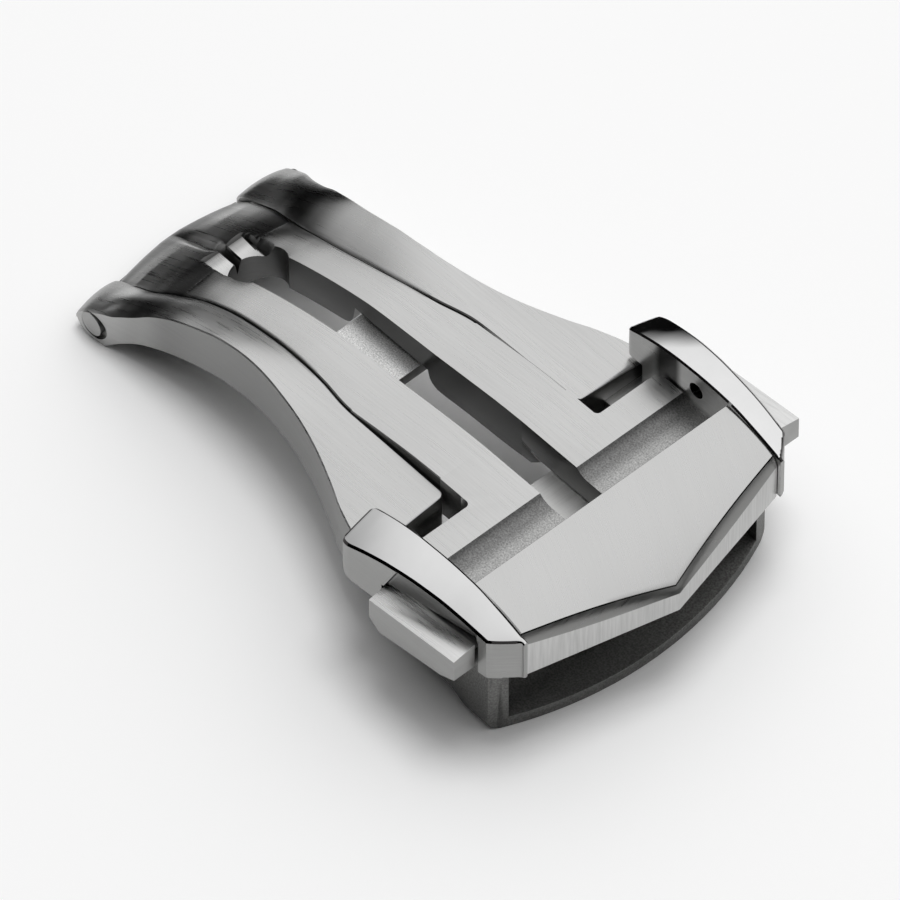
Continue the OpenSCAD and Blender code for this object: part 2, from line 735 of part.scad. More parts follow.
// One cover screw from below, grown by a gap in diameter
module cover_screw(gap) {
    translate([screw_x, screw_w / 2, bar_foot]) {
        cylinder(d = screw_d + gap, h = seat_z - bar_foot + screw_grip, $fn = small_fn);
        cylinder(d = screw_head_d + gap, h = screw_head_t, $fn = small_fn);
    }
}

module cover_screws() {
    color("gainsboro") both() difference() {
        cover_screw(0);
        translate([screw_x, screw_w / 2, bar_foot])
            cube([2 * screw_head_d, driver_w, 2 * driver_t], center = true);
    }
}

// Pusher on the positive Y side: button, neck, tongue and hook finger
module pusher() {
    difference() {
        union() {
            side_slab(button_h, half_strap + pusher_out) button_side(0);
            translate([neck_x, neck_h, tongue_foot]) cube([neck_w, button_h + pusher_gap - neck_h, tongue_t]);
            translate([tongue_x, tongue_h, tongue_foot]) cube([tongue_w, tongue_out - tongue_h, tongue_t]);
            translate([finger_x, finger_h, hook_foot]) cube([finger_w, finger_t, guide_z - hook_foot]);
            translate([finger_x, finger_h, hook_foot])
                cube([finger_w, finger_t + hook_gap + hook_bite, hook_t]);
        }
        rod(tongue_mid, guide_z, guide_d + 2 * run_gap, 0, tongue_h + guide_grip + pusher_travel + blade_gap);
    }
}

module pusher_left() {
    color("silver") pusher();
}

module pusher_right() {
    color("silver") mirror([0, 1, 0]) pusher();
}

// Guide pin of the positive Y side, grown by a gap in diameter
module spring_guide(gap) {
    rod(tongue_mid, guide_z, guide_d + gap, channel_h - guide_seat, tongue_h + guide_grip);
}

module spring_guide_left() {
    color("gainsboro") spring_guide(0);
}

module spring_guide_right() {
    color("gainsboro") mirror([0, 1, 0]) spring_guide(0);
}

// Coil of round wire along Y between the channel's end and the tongue
module coil() {
    steps = 12;
    sides = 6;
    count = spring_turns * steps;
    r = (spring_d - spring_wire) / 2;
    from = channel_h + spring_wire / 2 + fit;
    rise = tongue_h - spring_wire / 2 - fit - from;
    points = [for (i = [0 : count], j = [0 : sides - 1])
        let (a = 360 * i / steps, b = 360 * j / sides, q = r + spring_wire / 2 * cos(b))
        [q * cos(a), from + rise * i / count + spring_wire / 2 * sin(b), q * sin(a)]];
    walls = [for (i = [0 : count - 1], j = [0 : sides - 1])
        let (k = (j + 1) % sides, a = i * sides, b = a + sides)
        each [[a + j, b + k, a + k], [a + j, b + j, b + k]]];
    ends = [[for (j = [0 : sides - 1]) j], [for (j = [sides - 1 : -1 : 0]) count * sides + j]];
    translate([tongue_mid, 0, guide_z]) polyhedron(points, concat(walls, ends));
}

module pusher_spring_left() {
    color("dimgray") coil();
}

module pusher_spring_right() {
    color("dimgray") mirror([0, 1, 0]) coil();
}

// Side view of the clamp flap, its teeth pointing up at the strap
module flap_side() {
    difference() {
        union() {
            translate([clamp_x, clamp_z]) circle(d = clamp_knuckle_d);
            polygon([[clamp_x, clamp_z - clamp_t / 2], [flap_tip_x, flap_tip_z],
                     [flap_tip_x, flap_tip_z + clamp_t], [clamp_x, clamp_z + clamp_t / 2]]);
        }
        translate([clamp_x, clamp_z]) circle(d = clamp_pin_d + 2 * run_gap);
    }
}

// Row of teeth on the flap's upper face
module flap_teeth() {
    slope = (clamp_z - clamp_t / 2 - flap_tip_z) / (flap_tip_x - clamp_x);
    for (i = [0 : teeth - 1]) {
        x = flap_tip_x - (i + 0.5) * tooth_step;
        z = flap_tip_z + clamp_t + slope * (flap_tip_x - x);
        polygon([[x - tooth_l / 2, z - clamp_t / 4], [x + tooth_l / 2, z - clamp_t / 4], [x, z + tooth_h]]);
    }
}

module clamp_flap() {
    color("gray") {
        side_slab(-wall_in + clamp_gap, wall_in - clamp_gap) flap_side();
        side_slab(-tooth_w / 2, tooth_w / 2) flap_teeth();
    }
}

module clamp_pin() {
    color("gainsboro") rod(clamp_x, clamp_z, clamp_pin_d, -half_wall, half_wall);
}

place() outer_blade();
place() strap_loop();
place() loop_rivets();
place() centre_blade();
place() hinge_pin();
place() horn_left();
place() horn_right();
place() horn_dowels_left();
place() horn_dowels_right();
place() cover_plate();
place() cover_screws();
place() pusher_left();
place() pusher_right();
place() pusher_spring_left();
place() pusher_spring_right();
place() spring_guide_left();
place() spring_guide_right();
place() clamp_flap();
place() clamp_pin();
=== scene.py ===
import math

import bmesh
import bpy
import numpy as np
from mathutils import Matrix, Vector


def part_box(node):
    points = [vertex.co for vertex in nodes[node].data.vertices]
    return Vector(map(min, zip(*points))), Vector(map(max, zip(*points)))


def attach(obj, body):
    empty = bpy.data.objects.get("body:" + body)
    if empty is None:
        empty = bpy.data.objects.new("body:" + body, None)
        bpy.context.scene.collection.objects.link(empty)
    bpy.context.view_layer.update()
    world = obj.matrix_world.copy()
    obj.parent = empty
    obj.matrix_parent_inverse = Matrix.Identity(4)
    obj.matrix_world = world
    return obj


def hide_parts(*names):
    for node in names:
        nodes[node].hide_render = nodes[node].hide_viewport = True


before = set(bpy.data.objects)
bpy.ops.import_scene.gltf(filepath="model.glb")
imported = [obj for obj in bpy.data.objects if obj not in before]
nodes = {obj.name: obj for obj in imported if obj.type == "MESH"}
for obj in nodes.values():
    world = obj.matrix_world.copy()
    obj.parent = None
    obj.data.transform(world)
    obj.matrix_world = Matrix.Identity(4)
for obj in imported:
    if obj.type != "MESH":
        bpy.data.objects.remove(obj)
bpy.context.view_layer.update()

# Drawing frame: millimetres, x = 0 on the hinge pin's axis, y across the strap, z = 0 on the floor.
# An h is a distance from the strap's middle, on either side.
MM = 0.001
pin_low, pin_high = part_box("hinge_pin")
PIN_X = (pin_low.x + pin_high.x) / 2 / MM
REACH = 36.1          # horns' front tips
HALF_STRAP = 9.0      # horns' inner walls
HALF_WALL = 9.9       # outer sides of the legs' ends and of the strap loop
HALF_BLADE = 4.5      # prongs' outer sides where they meet the T-bar
KNUCKLE_R = 1.2       # legs' hinge ends about the pin
NOSE = 2.2            # how far the centre blade reaches behind the pin
LEG_END = 25.0
BAR_START = 24.4      # where the lofted prongs hand over to the T-bar
ARCH_END = BAR_START + 0.7
WELD = 1e-7           # metres within which two points become one


# Curves and meshes

def curve(*points):
    """Smooth curve through (x, y) points that never overshoots them."""
    xs = np.array([p[0] for p in points], float)
    ys = np.array([p[1] for p in points], float)
    steps = np.diff(xs)
    chords = np.diff(ys) / steps
    slopes = np.zeros(len(xs))
    slopes[0], slopes[-1] = chords[0], chords[-1]
    for i in range(1, len(xs) - 1):
        before, after = chords[i - 1], chords[i]
        if before * after > 0:
            w1, w2 = 2 * steps[i] + steps[i - 1], steps[i] + 2 * steps[i - 1]
            slopes[i] = (w1 + w2) / (w1 / before + w2 / after)

    def value(x):
        x = np.clip(x, xs[0], xs[-1])
        i = np.clip(np.searchsorted(xs, x, side="right") - 1, 0, len(steps) - 1)
        t = (x - xs[i]) / steps[i]
        bend = slopes[i] * t * (1 - t) ** 2 - slopes[i + 1] * t * t * (1 - t)
        return float(ys[i] * (1 + 2 * t) * (1 - t) ** 2 + ys[i + 1] * t * t * (3 - 2 * t) + steps[i] * bend)
    return value


def spaced(start, end, count, low=0.0, high=0.0):
    """Stations from start to end, crowded at the ends by the given shares."""
    t = np.linspace(0, 1, count)
    t = t - low * np.sin(2 * np.pi * t) / (2 * np.pi) * (t < 0.5)
    t = t - high * np.sin(2 * np.pi * t) / (2 * np.pi) * (t >= 0.5)
    return start + (end - start) * t


def rounding(x, end, radius, inward):
    """How far a surface falls back within radius of an end, as a quarter circle."""
    d = np.clip(radius - inward * (x - end), 0, radius)
    return radius - math.sqrt(max(radius * radius - d * d, 0))


def drawn(point):
    """A point of a mesh in the drawing frame."""
    x, y, z = point
    return x / MM - PIN_X, y / MM, z / MM


def placed(name, data):
    """A new object in the scene with this mesh, lamp or camera."""
    obj = bpy.data.objects.new(name, data)
    bpy.context.scene.collection.objects.link(obj)
    return obj


def object_from(bm, name):
    """A new object with the mesh that bm holds."""
    mesh = bpy.data.meshes.new(name)
    bm.to_mesh(mesh)
    bm.free()
    return placed(name, mesh)


def shade(obj, smooth=35.0):
    """Smooth shading, with edges that turn by more than so many degrees left sharp."""
    obj.data.shade_smooth()
    obj.data.set_sharp_from_angle(angle=math.radians(smooth))


def face_outward(bm):
    """Turns a closed mesh that is inside out."""
    if bm.calc_volume(signed=True) < 0:
        bmesh.ops.reverse_faces(bm, faces=bm.faces)


def mesh_object(name, verts, faces, smooth):
    """A closed object from points in the drawing frame."""
    mesh = bpy.data.meshes.new(name)
    mesh.from_pydata([((x + PIN_X) * MM, y * MM, z * MM) for x, y, z in verts], [], faces)
    bm = bmesh.new()
    bm.from_mesh(mesh)
    bmesh.ops.remove_doubles(bm, verts=bm.verts, dist=WELD)
    bmesh.ops.dissolve_degenerate(bm, edges=bm.edges, dist=WELD)
    bmesh.ops.recalc_face_normals(bm, faces=bm.faces)
    face_outward(bm)
    bm.to_mesh(mesh)
    bm.free()
    obj = placed(name, mesh)
    shade(obj, smooth)
    return obj


def loft(name, loops, smooth=35.0):
    """Closed solid through equal closed loops of points."""
    count = len(loops[0])
    verts = [p for loop in loops for p in loop]
    faces = []
    for s in range(len(loops) - 1):
        for i in range(count):
            j = (i + 1) % count
            faces.append((s * count + i, s * count + j, (s + 1) * count + j, (s + 1) * count + i))
    faces.append(tuple(range(count))[::-1])
    faces.append(tuple((len(loops) - 1) * count + i for i in range(count)))
    return mesh_object(name, verts, faces, smooth)


def prism(name, outline, low, high, axis="y"):
    """Straight prism of an outline in x and z along y, or in x and y along z."""
    if axis == "y":
        loops = [[(x, v, z) for x, z in outline] for v in (low, high)]
    else:
        loops = [[(x, y, v) for x, y in outline] for v in (low, high)]
    return loft(name, loops)


def block(name, low, high):
    """Box between two corners."""
    outline = [(low[0], low[2]), (high[0], low[2]), (high[0], high[2]), (low[0], high[2])]
    return prism(name, outline, low[1], high[1])


def rod(name, x, z, d, low, high, sides=64):
    """Cylinder along y."""
    turns = [2 * math.pi * i / sides for i in range(sides)]
    return prism(name, [(x + d / 2 * math.cos(a), z + d / 2 * math.sin(a)) for a in turns], low, high)


def apply_modifiers(obj):
    """Gives obj the mesh that its modifiers make, and removes them."""
    graph = bpy.context.evaluated_depsgraph_get()
    mesh = bpy.data.meshes.new_from_object(obj.evaluated_get(graph))
    obj.modifiers.clear()
    obj.data = mesh


def cut(obj, tool, operation="DIFFERENCE"):
    """Boolean of obj with tool, which is used up."""
    boolean = obj.modifiers.new("cut", "BOOLEAN")
    boolean.operation = operation
    boolean.solver = "EXACT"
    boolean.object = tool
    apply_modifiers(obj)
    bpy.data.objects.remove(tool)


def bevel(obj, width, angle=30.0, segments=2):
    """Rounds the edges that turn by more than angle degrees."""
    rounded = obj.modifiers.new("bevel", "BEVEL")
    rounded.width = width * MM
    rounded.segments = segments
    rounded.limit_method = "ANGLE"
    rounded.angle_limit = math.radians(angle)
    rounded.profile = 0.6
    rounded.use_clamp_overlap = True
    apply_modifiers(obj)


def cad_copy(node, name):
    """A free copy of a CAD node's mesh with its flat faces joined."""
    bm = bmesh.new()
    bm.from_mesh(nodes[node].data)
    bmesh.ops.remove_doubles(bm, verts=bm.verts, dist=WELD)
    bmesh.ops.dissolve_limit(bm, angle_limit=math.radians(1.0), verts=bm.verts, edges=bm.edges)
    bmesh.ops.recalc_face_normals(bm, faces=bm.faces)
    return object_from(bm, name)


def mirrored(obj, name, smooth=35.0):
    """A copy of obj and its materials on the other side of the strap's middle."""
    bm = bmesh.new()
    bm.from_mesh(obj.data)
    for v in bm.verts:
        v.co.y = -v.co.y
    bmesh.ops.reverse_faces(bm, faces=bm.faces)
    other = object_from(bm, name)
    for mat in obj.data.materials:
        other.data.materials.append(mat)
    for p, q in zip(obj.data.polygons, other.data.polygons):
        q.material_index = p.material_index
    shade(other, smooth)
    return other


def doubled(obj):
    """Adds obj's mirror image to it, joined along the strap's middle."""
    bm = bmesh.new()
    bm.from_mesh(obj.data)
    inside = [f for f in bm.faces if all(abs(v.co.y) < WELD / 10 for v in f.verts)]
    bmesh.ops.delete(bm, geom=inside, context="FACES")
    twin = bmesh.ops.duplicate(bm, geom=bm.verts[:] + bm.edges[:] + bm.faces[:])["geom"]
    for v in [g for g in twin if isinstance(g, bmesh.types.BMVert)]:
        v.co.y = -v.co.y
    bmesh.ops.reverse_faces(bm, faces=[g for g in twin if isinstance(g, bmesh.types.BMFace)])
    bmesh.ops.remove_doubles(bm, verts=bm.verts, dist=2 * WELD)
    face_outward(bm)
    bm.to_mesh(obj.data)
    bm.free()


# Material nodes

def tree(name):
    """A new material, its node tree and its shader."""
    mat = bpy.data.materials.new(name)
    mat.use_nodes = True
    nt = mat.node_tree
    nt.nodes.clear()
    out = nt.nodes.new("ShaderNodeOutputMaterial")
    shader = nt.nodes.new("ShaderNodeBsdfPrincipled")
    nt.links.new(shader.outputs[0], out.inputs[0])
    return mat, nt, shader


def noise(nt, scale, turn=0.0, detail=3.0):
    """Noise in the object's own frame, stretched by a scale in features per metre along each axis."""
    coords = nt.nodes.new("ShaderNodeTexCoord")
    spin = nt.nodes.new("ShaderNodeMapping")
    spin.inputs["Rotation"].default_value = (0, 0, math.radians(turn))
    stretch = nt.nodes.new("ShaderNodeMapping")
    stretch.inputs["Scale"].default_value = scale
    tex = nt.nodes.new("ShaderNodeTexNoise")
    tex.inputs["Scale"].default_value = 1.0
    tex.inputs["Detail"].default_value = detail
    nt.links.new(coords.outputs["Object"], spin.inputs["Vector"])
    nt.links.new(spin.outputs[0], stretch.inputs["Vector"])
    nt.links.new(stretch.outputs[0], tex.inputs["Vector"])
    return tex.outputs["Fac"]


def ranged(nt, value, low, high, start=0.3, end=0.7):
    """Turns the range from start to end into the range from low to high."""
    node = nt.nodes.new("ShaderNodeMapRange")
    node.inputs["From Min"].default_value = start
    node.inputs["From Max"].default_value = end
    node.inputs["To Min"].default_value = low
    node.inputs["To Max"].default_value = high
    nt.links.new(value, node.inputs["Value"])
    return node.outputs[0]


def grey(level):
    """Neutral colour of this level."""
    return (level, level, level)


def scaled(tone, factor):
    """Darker or lighter colour, by a factor."""
    return tuple(min(1.0, factor * c) for c in tone)


def tinted(nt, value, dark, light):
    """Colour that goes from dark to light as value goes from 0 to 1."""
    node = nt.nodes.new("ShaderNodeMix")
    node.data_type = "RGBA"
    node.inputs["A"].default_value = (*dark, 1)
    node.inputs["B"].default_value = (*light, 1)
    nt.links.new(value, node.inputs["Factor"])
    return node.outputs["Result"]


def times(nt, a, b):
    """Product of two colours."""
    node = nt.nodes.new("ShaderNodeMix")
    node.data_type = "RGBA"
    node.blend_type = "MULTIPLY"
    node.inputs["Factor"].default_value = 1.0
    nt.links.new(a, node.inputs["A"])
    nt.links.new(b, node.inputs["B"])
    return node.outputs["Result"]


def bumped(nt, shader, value, strength, depth):
    """Fine relief that follows value, its depth in millimetres."""
    node = nt.nodes.new("ShaderNodeBump")
    node.inputs["Strength"].default_value = strength
    node.inputs["Distance"].default_value = depth * MM
    nt.links.new(value, node.inputs["Height"])
    nt.links.new(node.outputs[0], shader.inputs["Normal"])


def grey_ramp(nt, value, stops, interpolation="LINEAR"):
    """Grey level from (place from 0 to 1, level) stops."""
    node = nt.nodes.new("ShaderNodeValToRGB")
    ramp = node.color_ramp
    ramp.interpolation = interpolation
    while len(ramp.elements) < len(stops):
        ramp.elements.new(0.5)
    for element, (at, level) in zip(ramp.elements, stops):
        element.position = at
        element.color = (*grey(level), 1)
    nt.links.new(value, node.inputs[0])
    return node.outputs[0]


def along_x(nt, stops):
    """Grey level that changes along the object's x, from (x in mm, level) stops."""
    coords = nt.nodes.new("ShaderNodeTexCoord")
    split = nt.nodes.new("ShaderNodeSeparateXYZ")
    nt.links.new(coords.outputs["Object"], split.inputs[0])
    start, end = stops[0][0], stops[-1][0]
    share = ranged(nt, split.outputs["X"], 0, 1, (start + PIN_X) * MM, (end + PIN_X) * MM)
    return grey_ramp(nt, share, [((x - start) / (end - start), level) for x, level in stops], "EASE")


def speckled(nt, shader, grains, dark, light, painted_shade):
    """Metal whose colour varies with its grains and, by optional painted shade stops, along x."""
    shader.inputs["Metallic"].default_value = 1.0
    colour = tinted(nt, ranged(nt, grains, 0, 1), dark, light)
    # Stops along x paint shade and dark reflections into the colour.
    if painted_shade:
        colour = times(nt, colour, along_x(nt, painted_shade))
    nt.links.new(colour, shader.inputs["Base Color"])


# Scales of brushed grain, in features per metre: the scratches run along the axes with the low numbers
BLADE_GRAIN = (350, 9000, 350)
WALL_GRAIN = (350, 350, 9000)
SIDE_GRAIN = (450, 450, 9000)
FINE_GRAIN = 1000     # scales above this one cross the scratches


def brushed(name, tone, rough, scale=BLADE_GRAIN, turn=0.0, strength=0.06, aniso=0.6, painted_shade=None,
            contrast=0.06):
    """Brushed steel, its grain turned about z by some degrees."""
    mat, nt, shader = tree(name)
    grain = noise(nt, scale, turn)
    broad = noise(nt, tuple(s / 12 if s > FINE_GRAIN else s / 6 for s in scale), turn, 2.0)
    speckled(nt, shader, grain, scaled(tone, 1 - contrast), scaled(tone, 1 + contrast), painted_shade)
    mixed = nt.nodes.new("ShaderNodeMath")
    mixed.operation = "ADD"
    nt.links.new(ranged(nt, grain, rough - 0.05, rough + 0.05), mixed.inputs[0])
    nt.links.new(ranged(nt, broad, -0.02, 0.02), mixed.inputs[1])
    nt.links.new(mixed.outputs[0], shader.inputs["Roughness"])
    shader.inputs["Anisotropic"].default_value = aniso
    normal = nt.nodes.new("ShaderNodeNewGeometry")
    cross = nt.nodes.new("ShaderNodeVectorMath")
    cross.operation = "CROSS_PRODUCT"
    heading = math.radians(-turn)
    cross.inputs[1].default_value = (math.cos(heading), math.sin(heading), 0)
    nt.links.new(normal.outputs["Normal"], cross.inputs[0])
    nt.links.new(cross.outputs[0], shader.inputs["Tangent"])
    bumped(nt, shader, grain, strength, 0.01)
    return mat


def blasted(name, tone, rough, scale=9000, strength=0.35, painted_shade=None):
    """Sandblasted steel with fine bright and dark grains."""
    mat, nt, shader = tree(name)
    pits = noise(nt, (scale,) * 3, 0, 2.0)
    broad = noise(nt, (500,) * 3, 0, 3.0)
    speckled(nt, shader, pits, scaled(tone, 0.62), scaled(tone, 1.25), painted_shade)
    nt.links.new(ranged(nt, broad, rough - 0.05, rough + 0.05), shader.inputs["Roughness"])
    bumped(nt, shader, pits, strength, 0.02)
    return mat


def mirror_steel(name, tone):
    """Polished steel with hairline polishing marks."""
    mat, nt, shader = tree(name)
    haze = noise(nt, (900,) * 3, 0, 4.0)
    marks = noise(nt, (600, 12000, 12000), 20.0, 2.0)
    speckled(nt, shader, haze, scaled(tone, 0.97), tone, None)
    nt.links.new(ranged(nt, haze, 0.03, 0.09), shader.inputs["Roughness"])
    bumped(nt, shader, marks, 0.02, 0.004)
    return mat


# Steel finishes, with tones as linear colours; several tones and stops along x are painted light and shade

STEEL = (0.6, 0.6, 0.595)
# Their stops along x paint dark reflection bands across the blades' tops near the hinge: on the centre
# blade's nose behind the pin and from about 1.5 to 5 mm in front of it.
blade_steel = brushed("blade_brushed", STEEL, 0.30,
                      painted_shade=((-NOSE, 0.06), (-1.1, 0.18), (-0.2, 0.8), (0.7, 0.85), (1.5, 0.4), (2.3, 0.1),
                            (3.2, 0.06), (3.9, 0.3), (5.0, 0.68), (7.5, 1.0)))
leg_steel = brushed("leg_brushed", STEEL, 0.30,
                    painted_shade=((-KNUCKLE_R, 0.5), (-0.3, 0.65), (0.7, 0.9), (1.8, 0.22), (2.8, 0.06),
                          (3.5, 0.08), (4.6, 0.38), (6.4, 0.9), (7.8, 1.0)))
# Wall tones darker than the tops' are painted shade on the blades' and legs' walls, and their stops along x
# paint more shade along the blade.
wall_shaded_steel = brushed("blade_wall_shaded", (0.31, 0.31, 0.305), 0.34, WALL_GRAIN,
                     painted_shade=((-NOSE, 0.5), (0.6, 0.5), (3.0, 0.36), (5.0, 0.6), (7.5, 1.0)))
leg_wall_shaded_steel = brushed("leg_wall_shaded", (0.45, 0.45, 0.445), 0.34, WALL_GRAIN,
                         painted_shade=((-KNUCKLE_R, 1.0), (1.0, 0.96), (3.0, 0.76), (5.0, 0.54), (7.5, 0.58),
                               (12.0, 0.54)))
# Its stops along x paint shade on the seats' rear and front ends.
seat_steel = brushed("seat_milled", (0.66, 0.66, 0.655), 0.3, strength=0.03, contrast=0.05,
                     painted_shade=((2.15, 0.2), (2.6, 0.6), (3.1, 1.0), (3.8, 0.85), (4.6, 0.5)))
# Dark tone: painted shade on the slot's walls and on the bridge's walls beneath the prongs.
slot_shade_steel = brushed("slot_wall_shade", (0.15, 0.15, 0.148), 0.36, WALL_GRAIN)
plate_steel = brushed("plate_brushed", (0.59, 0.59, 0.585), 0.30, (500, 11000, 500), 23.0,
                      strength=0.02, contrast=0.03)
# Dark tone: painted shade in the hollow below the plate's front edge and on its ends.
plate_hollow_shade_steel = brushed("plate_hollow_shade", (0.25, 0.25, 0.245), 0.32, (9000, 500, 500),
                          strength=0.03, contrast=0.05)
front_steel = brushed("plate_front", (0.5, 0.5, 0.495), 0.34, (7000, 7000, 350),
                      strength=0.05, contrast=0.12)
button_steel = brushed("button_brushed", (0.75, 0.75, 0.745), 0.3, (450, 9000, 450),
                       strength=0.05, contrast=0.12)
# Tone darker than the tops': painted shade on the horns' outer sides and the pushers' walls.
side_shaded_steel = brushed("side_brushed_shaded", (0.34, 0.34, 0.335), 0.34, SIDE_GRAIN)
# Tone lighter than the outer sides': painted light on the horns' inner walls; its stops along x paint a
# dark shadow band from about 26.8 to 27.9 mm.
inner_light_and_shadow_steel = brushed("horn_inside_lit_and_shaded", (0.75, 0.75, 0.745), 0.34, SIDE_GRAIN,
                      painted_shade=((24.15, 1.0), (26.2, 1.0), (26.8, 0.14), (27.9, 0.12), (28.5, 1.0),
                            (REACH, 1.0)))
top_steel = mirror_steel("horn_mirror", grey(0.78))
# Nearly black: painted dark reflections and shade on the horns' bevels, the far horn's outer strip, the far
# prong's upper edge and the plate's edge lines.
dark_edge_painted_steel = mirror_steel("horn_edge", (0.035, 0.033, 0.033))
# Its stops along x paint shade, darkest at the cove's rear.
cove_steel = blasted("cove_blasted", (0.47, 0.47, 0.465), 0.42, 11000, 0.5,
                     ((28.6, 0.35), (29.3, 0.5), (30.3, 0.95), (31.9, 1.15)))
bridge_steel = blasted("bridge_blasted", (0.78, 0.78, 0.775), 0.42, 13000, 0.25)
# Light tone: painted light on the loop's deck seen through the slot.
deck_lit_steel = brushed("deck_brushed_lit", (0.85, 0.85, 0.84), 0.38, (9000, 350, 350), contrast=0.04)
# Sandblasted steel whose tone is lowered as painted shade under the head; the clamp flap takes it too.
loop_shaded_steel = blasted("loop_blasted_shaded", (0.17, 0.17, 0.165), 0.45)
turned_steel = brushed("pin_turned", (0.34, 0.34, 0.335), 0.34, (3000,) * 3, strength=0.2, aniso=0.2)
wire_steel = brushed("wire_drawn", grey(0.4), 0.35, (3000, 8000, 8000), strength=0.1, aniso=0.2)


def paint(obj, *mats, choose=None):
    """Gives obj these materials: the first one all over, or to each face the one that choose names."""
    obj.data.materials.clear()
    for mat in mats:
        obj.data.materials.append(mat)
    if choose:
        for face in obj.data.polygons:
            face.material_index = mats.index(choose(*drawn(face.center), face.normal))


def paint_walls(obj, top, wall, limit=0.6):
    """Gives the faces that look across the strap or along it the wall's material."""
    paint(obj, top, wall, choose=lambda x, y, z, normal: wall if abs(normal.z) < limit else top)


def dress(obj, body, node):
    """Gives a new piece its body and hides the CAD node that it stands for."""
    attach(obj, body)
    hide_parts(node)


# CAD nodes that show as they are

for name in ("hinge_pin", "clamp_pin", "loop_rivets", "cover_screws", "horn_dowels_left",
             "horn_dowels_right", "spring_guide_left", "spring_guide_right"):
    paint(nodes[name], turned_steel)
for name in ("pusher_spring_left", "pusher_spring_right"):
    paint(nodes[name], wire_steel)


# Parting line between the blades: its h and how wide it is

GROOVE_TURN = 17.4    # from here on the prongs' sides are straight
groove = curve((-NOSE, 4.35), (1.2, 4.3), (3.0, 3.95), (5.1, 3.62), (7.44, 3.5), (9.92, 3.59),
               (11.65, 3.72), (14.67, 4.07), (17.2, 4.5), (17.6, 4.52), (LEG_END, 4.52))
groove_gap = curve((-NOSE, 0.09), (GROOVE_TURN, 0.12), (18.5, 0.16), (LEG_END, 0.37))


# Legs of the lower blade

leg_out = curve((-KNUCKLE_R, 7.45), (0.5, 7.34), (2.14, 6.95), (3.73, 6.6), (5.23, 6.33), (7.24, 6.11),
                (8.9, 6.02), (10.38, 6.02), (12.16, 6.13), (13.87, 6.38), (15.6, 6.74), (17.05, 7.16),
                (18.27, 7.6), (19.43, 8.09), (20.53, 8.59), (21.34, 9.0), (22.2, 9.35), (23.2, 9.7),
                (24.0, 9.88), (LEG_END, HALF_WALL))
leg_z_in = curve((-KNUCKLE_R, 1.15), (-0.11, 1.86), (1.21, 2.53), (3.02, 3.52), (5.11, 4.5), (7.44, 5.3),
                 (9.92, 5.97), (11.65, 6.36), (14.67, 6.82), (17.4, 7.05), (20.0, 7.12), (LEG_END, 7.16))
leg_z_out = curve((-KNUCKLE_R, 1.35), (0.54, 2.5), (2.14, 3.5), (3.73, 4.45), (5.23, 5.25), (7.24, 6.0),
                  (8.7, 6.5), (10.38, 6.85), (12.16, 6.98), (13.87, 6.94), (15.6, 6.87), (18.27, 6.75),
                  (21.3, 6.62), (LEG_END, 6.55))
leg_crown = curve((-KNUCKLE_R, 0.3), (1.0, 0.42), (3.0, 0.34), (6.0, 0.14), (10.0, 0.07), (LEG_END, 0.05))
leg_under = curve((0.9, 0.0), (1.3, 0.4), (2.0, 0.95), (3.0, 1.6), (4.8, 2.25), (7.0, 2.85), (9.7, 3.42),
                  (13.8, 3.75), (17.45, 3.54), (20.4, 3.2), (23.0, 3.1), (LEG_END, 3.1))
leg_facet = curve((-KNUCKLE_R, 0.07), (0.6, 0.1), (1.5, 0.3), (2.6, 0.28), (4.0, 0.07), (LEG_END, 0.07))
LEG_EDGE = 0.07       # broken edge along the groove
LEG_TIP_R = 0.38      # legs' ends in plan, beside the notch
LEG_RAKE = 0.4        # how much further back the hinge end reaches at the groove
LEG_RAKE_H = 4.4      # h of the groove there
LEG_RAKE_W = 3.0      # width over which the rake runs out
LOBE_ROOM = 0.22      # how far the lower inner corners stand back beside the lobes
LOBE_REAR = 1.1       # x where that starts
LOBE_FRONT = 3.2      # and ends
PIN_SEAT_X = 0.12     # seat around the pin's end
PIN_SEAT_Z = 1.12
PIN_SEAT_D = 1.82


def under(x):
    """Height of the leg's underside at x, round about the pin and then arched."""
    if x < 0:
        return KNUCKLE_R - math.sqrt(max(KNUCKLE_R ** 2 - x * x, 0))
    return leg_under(x)


def leg_loop(x):
    """Section of the left leg at x, from its lower corner at the groove over its top."""
    drop = 0.5 * rounding(x, -KNUCKLE_R, 0.6, 1) + 0.6 * rounding(x, LEG_END, 0.22, -1)
    inner = groove(x) + groove_gap(x) / 2 + rounding(x, LEG_END, LEG_TIP_R, -1)
    outer = leg_out(x)
    facet = leg_facet(x)
    z_in, z_out = leg_z_in(x) - drop, leg_z_out(x) - drop
    top = []
    for t in np.linspace(0, 1, 15):
        top.append((x, inner + LEG_EDGE + t * (outer - inner - LEG_EDGE - facet),
                    z_in + (z_out - z_in) * t + leg_crown(x) * 4 * t * (1 - t)))
    low = min(under(x), z_in - LEG_EDGE - 0.01, z_out - facet - 0.01)
    low_in = min(low, 0.2) if x < 0 else low
    room = LOBE_ROOM if LOBE_REAR < x < LOBE_FRONT else 0.0
    points = [(x, inner + room, low_in), (x, inner, z_in - LEG_EDGE)] + top
    points += [(x, outer, z_out - facet), (x, outer, low)]
    rake = LEG_RAKE * min(1.0, max(0.0, -x / KNUCKLE_R))
    return [(px - rake * max(0.0, 1 - (h - LEG_RAKE_H) / LEG_RAKE_W), h, z) for px, h, z in points]


